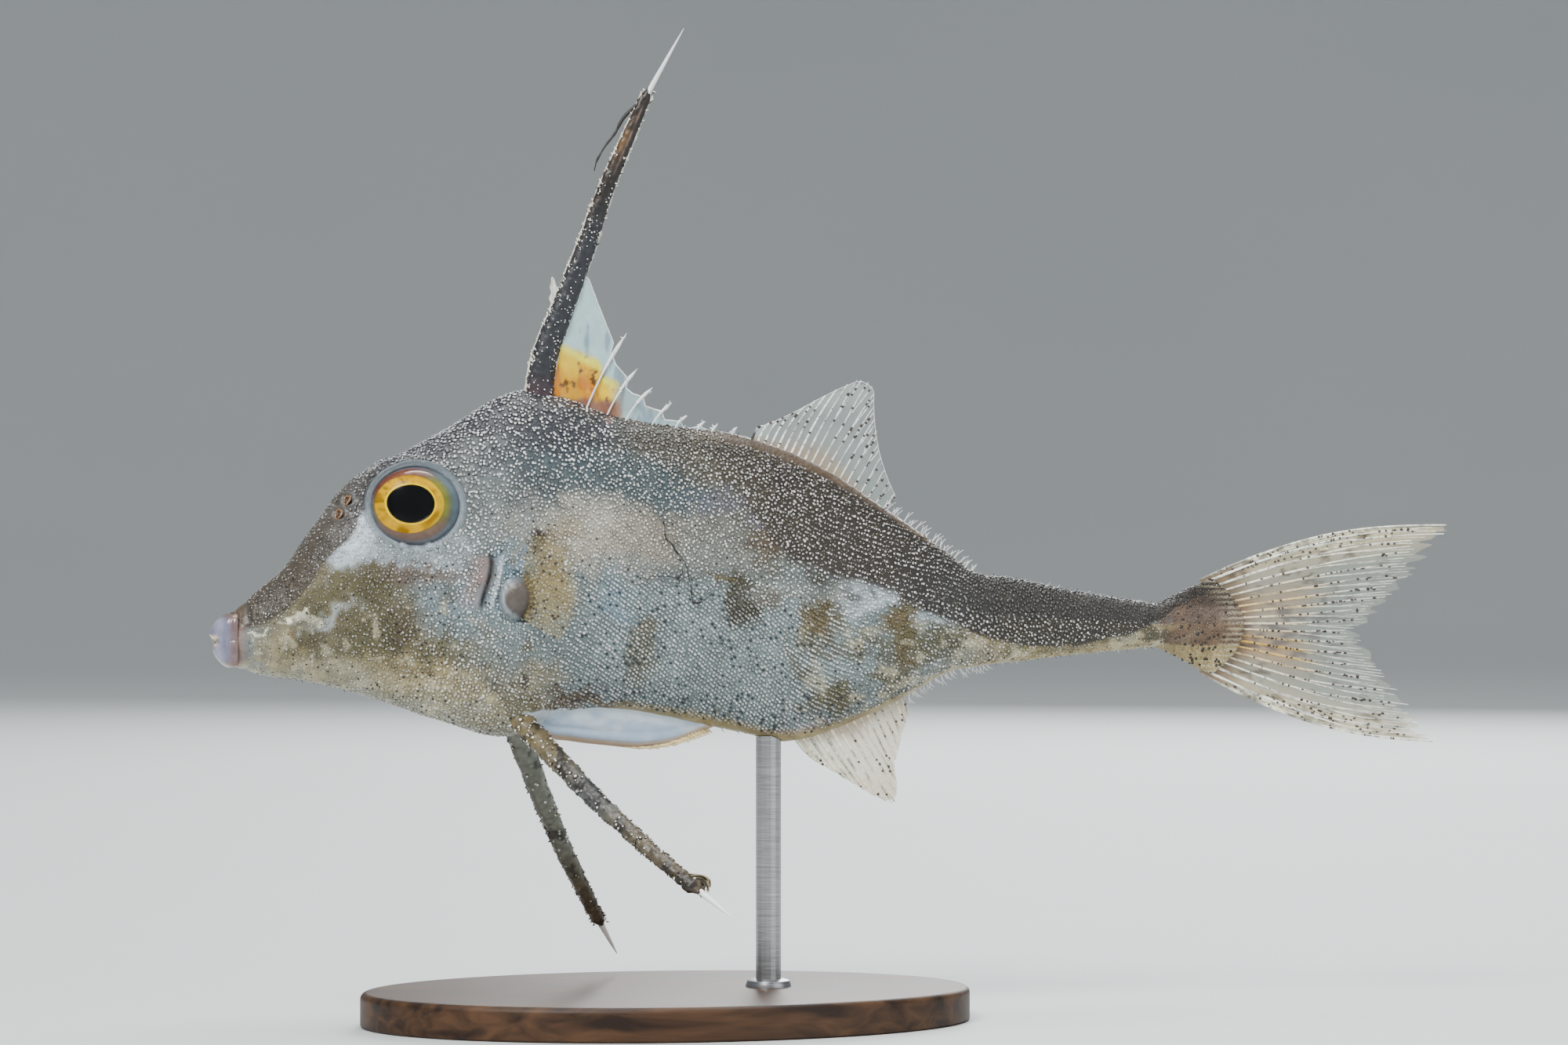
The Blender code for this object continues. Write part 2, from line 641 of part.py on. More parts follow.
def make_keel():
    """The pelvic keel, the bony plate under the belly behind the pelvic spines."""
    rings = []
    steps, sides = 16, 12
    for i in range(steps + 1):
        share = i / steps
        x = KEEL["start"] + (KEEL["end"] - KEEL["start"]) * share
        half = KEEL["half"] + (KEEL["end_half"] - KEEL["half"]) * share
        low = curve_through(KEEL_EDGE, x)
        middle = (KEEL["top"] + low) / 2
        tall = (KEEL["top"] - low) / 2
        turns = [math.tau * k / sides for k in range(sides)]
        rings.append([Vector((x, half * math.cos(a), middle + tall * math.sin(a))) for a in turns])
    keel = loft("pelvic_keel", rings)
    clear_of_body(keel)
    join(keel, [make_pelvic_spine("clearance", side, GAP) for side in PELVIC_TIPS], "DIFFERENCE")
    return keel


def make_stand():
    """An oval base with one rod that reaches up to the belly."""
    bm = bmesh.new()
    bmesh.ops.create_cone(bm, cap_ends=True, segments=48, radius1=1, radius2=1, depth=BASE_THICK)
    bmesh.ops.scale(bm, vec=(BASE_LONG, BASE_WIDE, 1), verts=bm.verts)
    bmesh.ops.translate(bm, vec=(-SNOUT_X, 0, BASE_THICK / 2 - AXIS_HEIGHT), verts=bm.verts)
    base = finish_mesh(bm, "stand_base")
    edge = base.modifiers.new("edge", "BEVEL")
    edge.width = BASE_BEVEL * MM
    edge.segments = 2
    edge.limit_method = "ANGLE"
    settle(base)
    foot = BASE_THICK - AXIS_HEIGHT - ROD_HOLE
    join(base, [rod_length("hole", foot, 1 + BASE_THICK - AXIS_HEIGHT, GAP)], "DIFFERENCE")
    rod = rod_length("stand_rod", foot + GAP, curve_through(BELLY, ROD_X) + 3, 0)
    clear_of_body(rod)
    return base, rod


def rod_length(name, low, high, grow):
    """A round length of the stand's rod."""
    bm = bmesh.new()
    bmesh.ops.create_cone(bm, cap_ends=True, segments=16, radius1=ROD_RADIUS + grow,
                          radius2=ROD_RADIUS + grow, depth=high - low)
    bmesh.ops.translate(bm, vec=(ROD_X, 0, (low + high) / 2), verts=bm.verts)
    return finish_mesh(bm, name)


def give_material(obj, colour, roughness, metallic=0.0):
    """A material of the node's own."""
    material = bpy.data.materials.new(obj.name)
    material.use_nodes = True
    shader = material.node_tree.nodes["Principled BSDF"]
    shader.inputs["Base Color"].default_value = (*COLOURS[colour], 1.0)
    shader.inputs["Roughness"].default_value = roughness
    shader.inputs["Metallic"].default_value = metallic
    obj.data.materials.clear()
    obj.data.materials.append(material)
    obj.data.shade_smooth()
    obj.data.set_sharp_from_angle(angle=math.radians(40))


for old in list(bpy.data.objects):
    bpy.data.objects.remove(old)
parts = bpy.data.collections.new("long_tail_tripodfish")
cutters = bpy.data.collections.new("cutters")
bpy.context.scene.collection.children.link(parts)
bpy.context.scene.collection.children.link(cutters)
draw = random.Random(SEED)

frame = bpy.data.objects.new("fish_frame", None)
parts.objects.link(frame)
frame.location = (SNOUT_X * MM, 0, AXIS_HEIGHT * MM)

nodes = [
    (make_head(), "skin", 0.4),
    (body_length("trunk", HEAD_END + GAP / 2, TRUNK_END - GAP / 2, TRUNK_STEPS), "skin", 0.4),
    (body_length("tail_stalk", TRUNK_END + GAP / 2, STALK_END - GAP / 2, STALK_STEPS), "skin", 0.4),
    (make_tail_base(), "skin", 0.45),
    (make_tail_lobe("tail_fin_upper", 1), "fin", 0.35),
    (make_tail_lobe("tail_fin_lower", -1), "fin", 0.35),
    (make_lip("upper_lip", UPPER_LIP), "lip", 0.35),
    (make_lip("lower_lip", LOWER_LIP), "lip", 0.35),
    (make_web(), "web", 0.35),
    (make_soft_fin("soft_dorsal_fin", SOFT_DORSAL, BACK, 1), "fin", 0.35),
    (make_soft_fin("anal_fin", ANAL_FIN, BELLY, -1), "fin", 0.35),
    (make_keel(), "keel", 0.3),
]
dorsal_spine = make_dorsal_spine("first_dorsal_spine")
join(dorsal_spine, barbs(dorsal_line, dorsal_width, SPINE_FLAT, 0.2, 0.8, 26, draw, 0.44))
clear_of_body(dorsal_spine)
nodes.append((dorsal_spine, "spine", 0.55))
for side, sign in (("left", -1), ("right", 1)):
    nodes.append((eye_ball("eye_" + side, sign), "eye", 0.08))
    nodes.append((make_pectoral("pectoral_fin_" + side, sign), "fin", 0.35))
    spine = make_pelvic_spine("pelvic_spine_" + side, side)
    join(spine, barbs(pelvic_line(side), pelvic_width, PELVIC_FLAT, 0.2, 0.84, 20, draw, 0.0))
    clear_of_body(spine)
    nodes.append((spine, "spine", 0.55))
stand_base, stand_rod = make_stand()
nodes.append((stand_base, "wood", 0.4))

for node, colour, roughness in nodes:
    give_material(node, colour, roughness)
give_material(stand_rod, "steel", 0.3, 1.0)
for node in [n[0] for n in nodes] + [stand_rod]:
    node.parent = frame
bpy.data.collections.remove(cutters)
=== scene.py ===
import math

import bpy
import numpy as np
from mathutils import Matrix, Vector


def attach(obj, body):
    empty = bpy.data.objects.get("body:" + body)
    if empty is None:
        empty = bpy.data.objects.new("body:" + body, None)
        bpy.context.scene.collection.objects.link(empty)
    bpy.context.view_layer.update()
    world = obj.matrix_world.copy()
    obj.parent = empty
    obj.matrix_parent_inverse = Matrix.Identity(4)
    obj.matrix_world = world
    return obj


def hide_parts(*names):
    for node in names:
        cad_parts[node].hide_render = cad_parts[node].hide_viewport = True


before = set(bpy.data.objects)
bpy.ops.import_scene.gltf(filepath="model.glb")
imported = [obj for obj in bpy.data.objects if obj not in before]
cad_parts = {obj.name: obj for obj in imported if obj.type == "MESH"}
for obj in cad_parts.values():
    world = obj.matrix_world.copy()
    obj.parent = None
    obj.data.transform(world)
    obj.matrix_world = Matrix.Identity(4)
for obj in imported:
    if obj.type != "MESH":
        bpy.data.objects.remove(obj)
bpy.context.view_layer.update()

# Long-tail tripodfish, its looks. Lengths are in mm: x runs from the snout's tip to the tail,
# y to the fish's right side and z up from the body's axis. toWorld turns them into metres.
print("frame loaded")

origin = {"x": -53.6, "z": 58.5}
body = {
    "back": ((3.0, -10.2), (5.4, -8.1), (9.0, -4.9), (12.0, -0.6), (15.7, 4.1), (21.2, 7.4),
             (26.7, 10.3), (36.3, 15.2), (41.0, 14.6), (46.0, 12.8), (54.8, 11.2), (62.0, 10.3),
             (72.4, 6.3), (79.1, 2.1), (87.2, -3.5), (90.6, -5.9), (94.5, -6.5), (103.3, -8.2),
             (113.0, -9.7)),
    "belly": ((3.0, -16.6), (6.0, -17.5), (11.4, -18.3), (18.7, -20.2), (27.8, -23.2),
              (34.0, -24.8), (37.0, -24.3), (41.0, -22.6), (50.3, -22.3), (55.1, -23.2),
              (61.0, -24.3), (68.5, -25.7), (73.9, -24.2), (81.5, -20.9), (88.0, -17.5),
              (92.0, -16.9), (103.3, -15.6), (113.0, -14.8)),
    "breadth": ((3.0, 2.5), (6.0, 3.3), (12.0, 4.6), (18.0, 5.7), (24.0, 6.5), (31.0, 7.5),
                (38.0, 7.7), (46.0, 7.2), (56.0, 6.2), (66.0, 5.2), (76.0, 4.2), (86.0, 3.1),
                (92.0, 2.6), (103.0, 2.2), (113.0, 1.9)),
    "widest": ((3.0, 0.5), (12.0, 0.6), (23.0, 0.66), (30.0, 0.56), (42.0, 0.47), (70.0, 0.52),
               (113.0, 0.5)),
    "sharpness": ((3.0, 1.0), (14.0, 0.85), (23.0, 0.72), (30.0, 0.95), (37.0, 1.2), (85.0, 1.15),
                  (113.0, 1.0)),
    "start": 3.0, "headEnd": 33.6, "stalkEnd": 113.0,
}
tailRootShape = {"x": 123.6, "round": 4.0, "z": -12.4, "half": 5.7}
tail = {"fork": (138.3, -12.9), "upper": {"long": 11.6, "tall": 12.4, "power": 0.8},
        "lower": {"long": 9.9, "tall": 13.4, "power": 1.12}, "bow": 2.0, "rays": 9,
        "edgeRays": 7, "edgeSpecks": 7}


def curveThrough(points, at):
    # height of the smooth curve through (x, value) points
    xs, vs = np.array(points, float).T
    steps = np.diff(xs)
    slopes = np.diff(vs) / steps
    lean = np.concatenate(([slopes[0]], (slopes[:-1] * steps[1:] + slopes[1:] * steps[:-1])
                           / (steps[1:] + steps[:-1]), [slopes[-1]]))
    i = np.clip(np.searchsorted(xs, at) - 1, 0, len(xs) - 2)
    wide = xs[i + 1] - xs[i]
    t = np.clip((at - xs[i]) / wide, 0, 1)
    return ((2 * t**3 - 3 * t**2 + 1) * vs[i] + (t**3 - 2 * t**2 + t) * wide * lean[i]
            + (3 * t**2 - 2 * t**3) * vs[i + 1] + (t**3 - t**2) * wide * lean[i + 1])


def alongPath(points, share):
    # points at shares of the way along a smooth path
    points = np.array(points, float)
    lengths = np.concatenate(([0], np.cumsum(np.linalg.norm(np.diff(points, axis=0), axis=1))))
    at = np.asarray(share, float) * lengths[-1]
    return np.stack([curveThrough(np.column_stack((lengths, c)), at) for c in points.T], -1)


def ease(low, high, value):
    # 0 at low, 1 at high, and smooth between them
    t = np.clip((value - low) / (high - low), 0, 1)
    return t * t * (3 - 2 * t)


def unit(vectors):
    vectors = np.asarray(vectors, float)
    return vectors / np.maximum(np.linalg.norm(vectors, axis=-1, keepdims=True), 1e-9)


def flatOn(ahead, out):
    # the direction along the surface that comes nearest to ahead
    return unit(ahead - out * np.sum(ahead * out, 1, keepdims=True))


def circle(count):
    # angles spread evenly round a turn
    return np.arange(count) * math.tau / count


def joined(x, y, z):
    # points from coordinates whose shapes fit each other
    return np.stack(np.broadcast_arrays(x, y, z), -1)


def softNoise(points, size, seed=0):
    # smooth noise from 0 to 1, its lumps about size across
    p = np.asarray(points, float).reshape(-1, 3) / size + seed * 7.31
    cell = np.floor(p).astype(np.int64)
    f = p - cell
    f = f * f * (3 - 2 * f)
    total = np.zeros(len(p))
    for corner in range(8):
        bits = np.array((corner & 1, corner >> 1 & 1, corner >> 2 & 1))
        c = cell + bits
        n = (c[:, 0] * 73856093) ^ (c[:, 1] * 19349663) ^ (c[:, 2] * 83492791) ^ (seed * 2654435)
        n = (n ^ (n >> 13)) * 1274126177
        total += ((n ^ (n >> 16)) & 0xFFFF) / 65535.0 * np.prod(np.where(bits, f, 1 - f), axis=1)
    return total.reshape(np.asarray(points).shape[:-1])


def clouds(points, size, seed=0):
    return (softNoise(points, size, seed) * 4 + softNoise(points, size / 2.1, seed + 1) * 2
            + softNoise(points, size / 4.3, seed + 2)) / 7


# colours are given as they should look under the studio lights, and turned into paint here
look = {"white": 224.6, "step": 29.6, "chroma": 1.02, "darkest": 0.004, "palest": 0.93}


def shade(r, g, b, alpha=None):
    seen = np.array((r, g, b), float)
    seen = seen.mean() + (seen - seen.mean()) * look["chroma"]
    mixed = np.clip(2.0 ** ((seen - look["white"]) / look["step"]), look["darkest"], look["palest"])
    return mixed if alpha is None else np.append(mixed, alpha)


def blend(tone, colour, amount):
    return tone + (colour - tone) * np.clip(amount, 0, 1)[:, None]


def even(colour, points):
    # one colour for each of the points
    return np.tile(colour, (len(points), 1))


def layered(tone, *layers):
    # a tone with colours laid over it in turn, each a name in hues or a colour, with its strength
    for colour, amount in layers:
        tone = blend(tone, hues[colour] if isinstance(colour, str) else colour, amount)
    return tone


def withAlpha(tone, alpha=1.0):
    return np.column_stack((tone, np.broadcast_to(alpha, len(tone))))


# meshes

def toWorld(points):
    return (np.asarray(points, float) + (origin["x"], 0, origin["z"])) * 0.001


def newHeap():
    return {"points": [], "quads": [], "tris": [], "tone": [], "uv": [], "count": 0}


def addTo(heap, points, quads=(), tris=(), tone=(1, 1, 1, 1), uv=None):
    points = np.asarray(points, float).reshape(-1, 3)
    heap["points"].append(points)
    for kind, faces, corners in (("quads", quads, 4), ("tris", tris, 3)):
        if len(faces):
            heap[kind].append(np.asarray(faces, np.int64).reshape(-1, corners) + heap["count"])
    heap["tone"].append(np.broadcast_to(np.asarray(tone, float), (len(points), 4)))
    if uv is not None:
        heap["uv"].append(uv)
    heap["count"] += len(points)


def build(name, heap, material, replaces=(), uvName=None, cornerUv=None):
    points = np.concatenate(heap["points"])
    sets = [np.concatenate(heap[k]) for k in ("quads", "tris") if heap[k]]
    loops = np.concatenate([f.ravel() for f in sets])
    sizes = np.concatenate([np.full(len(f), f.shape[1]) for f in sets])
    mesh = bpy.data.meshes.new(name)
    mesh.vertices.add(len(points))
    mesh.vertices.foreach_set("co", toWorld(points).astype(np.float32).ravel())
    mesh.loops.add(len(loops))
    mesh.loops.foreach_set("vertex_index", loops.astype(np.int32))
    mesh.polygons.add(len(sizes))
    mesh.polygons.foreach_set("loop_start", (np.cumsum(sizes) - sizes).astype(np.int32))
    mesh.update(calc_edges=True)
    tone = mesh.attributes.new("tone", "FLOAT_COLOR", "POINT")
    tone.data.foreach_set("color", np.concatenate(heap["tone"]).astype(np.float32).ravel())
    if uvName:
        corners = np.concatenate(heap["uv"])[loops] if cornerUv is None else cornerUv
        mesh.uv_layers.new(name=uvName).data.foreach_set("uv", corners.astype(np.float32).ravel())
    mesh.shade_smooth()
    mesh.materials.append(material)
    piece = bpy.data.objects.new(name, mesh)
    bpy.context.scene.collection.objects.link(piece)
    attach(piece, "root")
    if replaces:
        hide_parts(*replaces)
    return piece


def gridQuads(rows, columns, wrap=False):
    i, j = np.meshgrid(np.arange(rows - 1), np.arange(columns if wrap else columns - 1),
                       indexing="ij")
    k = (j + 1) % columns
    return np.stack((i * columns + j, i * columns + k, (i + 1) * columns + k,
                     (i + 1) * columns + j), -1).reshape(-1, 4)


def volumeSign(points, quads):
    a, b, c, d = (points[quads[:, k]] for k in range(4))
    return np.sign(np.sum(np.cross(b - a, c - a) * a) + np.sum(np.cross(c - a, d - a) * a))


def addRings(heap, rings, tone=(1, 1, 1, 1), ends=None):
    # a closed skin over rings of points, each end closed on a point in its middle
    rows, sides = rings.shape[:2]
    size = rows * sides
    ends = rings[[0, -1]].mean(1) if ends is None else np.asarray(ends, float)
    points = np.concatenate((rings.reshape(-1, 3), ends))
    quads = gridQuads(rows, sides, True)
    k = np.arange(sides)
    n = (k + 1) % sides
    tris = np.concatenate((np.stack((n, k, np.full(sides, size)), -1),
                           np.stack((k + size - sides, n + size - sides,
                                     np.full(sides, size + 1)), -1)))
    if volumeSign(points - points.mean(0), quads) < 0:
        quads, tris = quads[:, ::-1], tris[:, ::-1]
    tone = np.asarray(tone, float)
    if tone.ndim == 2:
        tone = np.repeat(tone, sides, 0) if len(tone) == rows else tone
        tone = np.concatenate((tone, tone[:1], tone[-1:]))
    addTo(heap, points, quads, tris, tone)


def addTube(heap, path, radii, sides=8, flat=1.0, across=(0, 1, 0), tone=(1, 1, 1, 1)):
    # a closed tube; flat squashes it along across
    path = np.asarray(path, float)
    radii = np.broadcast_to(np.asarray(radii, float), len(path))
    ahead = unit(np.gradient(path, axis=0))
    across = np.asarray(across, float)
    across = unit(across - ahead * (ahead @ across)[:, None])
    fore = np.cross(across, ahead)
    turn = circle(sides)[:, None]
    ring = fore[:, None] * np.cos(turn) + across[:, None] * np.sin(turn) * flat
    addRings(heap, path[:, None] + ring * radii[:, None, None], tone, path[[0, -1]])


def addPlate(heap, middle, half, tone):
    # a closed thin plate: middle is a grid of points, half its half thickness
    rows, columns = middle.shape[:2]
    out = unit(np.cross(np.gradient(middle, axis=0), np.gradient(middle, axis=1))) * half
    quads = gridQuads(rows, columns)
    size = rows * columns
    edge = np.concatenate((np.arange(columns), np.arange(2, rows) * columns - 1,
                           np.arange(size - 1, size - columns - 1, -1),
                           np.arange(rows - 2, 0, -1) * columns))
    ahead = np.roll(edge, -1)
    rim = np.stack((edge, edge + size, ahead + size, ahead), -1)
    tone = np.broadcast_to(np.asarray(tone, float).reshape(-1, 4), (size, 4))
    points = np.concatenate(((middle + out).reshape(-1, 3), (middle - out).reshape(-1, 3)))
    faces = np.concatenate((quads, quads[:, ::-1] + size, rim[:, ::-1]))
    addTo(heap, points, faces, (), np.concatenate((tone, tone)))


# the body's shape, the same as the solids'

def sectionAt(x):
    top, bottom = curveThrough(body["back"], x), curveThrough(body["belly"], x)
    wide = bottom + (top - bottom) * curveThrough(body["widest"], x)
    return top, bottom, wide, curveThrough(body["breadth"], x), curveThrough(body["sharpness"], x)


def bodyPoints(x, turn):
    top, bottom, wide, half, power = sectionAt(x)
    c, s = np.cos(turn), np.sin(turn)
    y = half * np.sign(c) * np.abs(c) ** np.where(s > 0, power, 1.0)
    z = wide + s * np.where(s > 0, top - wide, wide - bottom)
    return joined(x, y, z)


def breadthAt(x, z):
    top, bottom, wide, half, power = sectionAt(x)
    s = (z - wide) / np.where(z > wide, top - wide, wide - bottom)
    return half * np.sqrt(np.maximum(1 - s * s, 0)) ** np.where(z > wide, power, 1.0)


def bodySide(x, z, side):
    step = 0.05
    leanX = (breadthAt(x + step, z) - breadthAt(x - step, z)) / (2 * step)
    leanZ = (breadthAt(x, z + step) - breadthAt(x, z - step)) / (2 * step)
    return np.array((x, side * breadthAt(x, z), z)), unit((-leanX, side, -leanZ))


def tailRoot(v):
    return joined(tailRootShape["x"] - tailRootShape["round"] * v * v, 0 * v,
                  tailRootShape["z"] + tailRootShape["half"] * v)


def tailBasePoints(share, turn):
    top, bottom, _, half, _ = sectionAt(body["stalkEnd"])
    c, v = np.cos(turn), np.sin(turn)
    lens = np.abs(c)
    front = joined(body["stalkEnd"], 0.0, (top + bottom) / 2 + (top - bottom) / 2 * v)
    points = front * (1 - share[..., None]) + tailRoot(v) * share[..., None]
    points[..., 1] = np.sign(c) * ((1 - share) * half * lens
                                   + share * (0.35 + 0.5 * lens) * ease(0, 0.25, lens))
    return points


eye = {"x": 23.1, "z": 2.0, "long": 5.25, "tall": 4.65, "deep": 3.1, "standsOut": 1.35,
       "looks": (-0.12, 1.0, 0.08), "fullness": 3.0, "lid": 0.97, "cover": 0.08}


def eyeFrame(side):
    place = bodySide(eye["x"], eye["z"], side)[0]
    out = unit((eye["looks"][0], side * eye["looks"][1], eye["looks"][2]))
    turn = np.array(Vector((0, side, 0)).rotation_difference(Vector(out)).to_matrix())
    return place, turn @ (1, 0, 0), out, turn @ (0, 0, 1)


def eyeLocal(points, side):
    # ahead, outward and up from the middle of an eye, and how far out that is on its oval
    place, fore, out, up = eyeFrame(side)
    u, o, w = ((points - place) @ np.stack((fore, out, up), 1)).T
    return u, o, w, np.hypot(u / eye["long"], w / eye["tall"])


def ballHeight(oval):
    deep = np.sqrt(np.maximum(1 - np.minimum(oval, 1) ** eye["fullness"], 0))
    return eye["standsOut"] - eye["deep"] * (1 - deep)


def nearestOval(points):
    best = np.full(len(points), 9.0)
    for side in (-1, 1):
        _, o, _, oval = eyeLocal(points, side)
        best = np.where(o > -4, np.minimum(best, oval), best)
    return best


# the gill's slit, the ridge behind it, and the fleshy lobe that carries the pectoral fin
gill = {"slit": ((-10.4, 30.4), (-8.5, 30.8), (-6.7, 31.35), (-4.7, 31.7), (-3.4, 31.5)),
        "ridge": ((-9.0, 31.8), (-6.7, 32.5), (-4.0, 33.0), (-3.4, 33.3)), "deep": 0.7, "wide": 0.2,
        "flap": 0.13}
lobe = {"x": 34.5, "z": -8.7, "long": 1.75, "tall": 2.15, "out": 1.15}
nostrils = ((15.6, 2.5), (14.6, 0.9))
keelBand = ((35.4, -22.3), (37.0, -21.9), (39.7, -21.7), (46.4, -21.9), (51.9, -22.9), (55.6, -23.5),
            (58.2, -24.1))


def gillAway(points):
    # mm behind the gill's slit and behind its ridge, and how much of them is there
    x, z = points[:, 0], points[:, 2]
    there = ease(-10.4, -9.2, z) * ease(-3.4, -4.4, z) * (np.abs(points[:, 1]) > 2)
    return x - curveThrough(gill["slit"], z), x - curveThrough(gill["ridge"], z), there


def lobeShare(points):
    far = np.hypot((points[:, 0] - lobe["x"]) / lobe["long"], (points[:, 2] - lobe["z"]) / lobe["tall"])
    return np.where(np.abs(points[:, 1]) > 3, far, 9.0)


# colours of the skin and its scales, from where a point lies on the body
hues = {
    "silver": (144, 150, 150), "steel": (147, 158, 159), "rimShadow": (84, 96, 108),
    "bone": (200, 196, 180), "milk": (184, 182, 174), "cheek": (146, 138, 110), "cream": (180, 170, 136),
    "navy": (74, 80, 90), "teal": (94, 112, 118), "loam": (106, 99, 80),
    "bark": (84, 72, 58), "peat": (62, 54, 46), "snout": (96, 86, 74),
    "pearl": (202, 208, 212), "white": (234, 228, 210), "olive": (116, 110, 72),
    "moss": (84, 80, 52), "ochre": (130, 116, 68), "rust": (112, 94, 66),
    "umber": (78, 64, 44), "ink": (30, 32, 40), "blush": (180, 156, 146),
    "dun": (138, 114, 92), "sky": (146, 164, 173), "lid": (146, 154, 160),
    "violet": (128, 130, 146), "mustard": (150, 134, 84), "ash": (120, 112, 106),
    "slit": (46, 38, 36), "strip": (130, 112, 88), "keel": (206, 212, 216),
    "fog": (160, 162, 158),
}
hues = {name: shade(*colour) for name, colour in hues.items()}
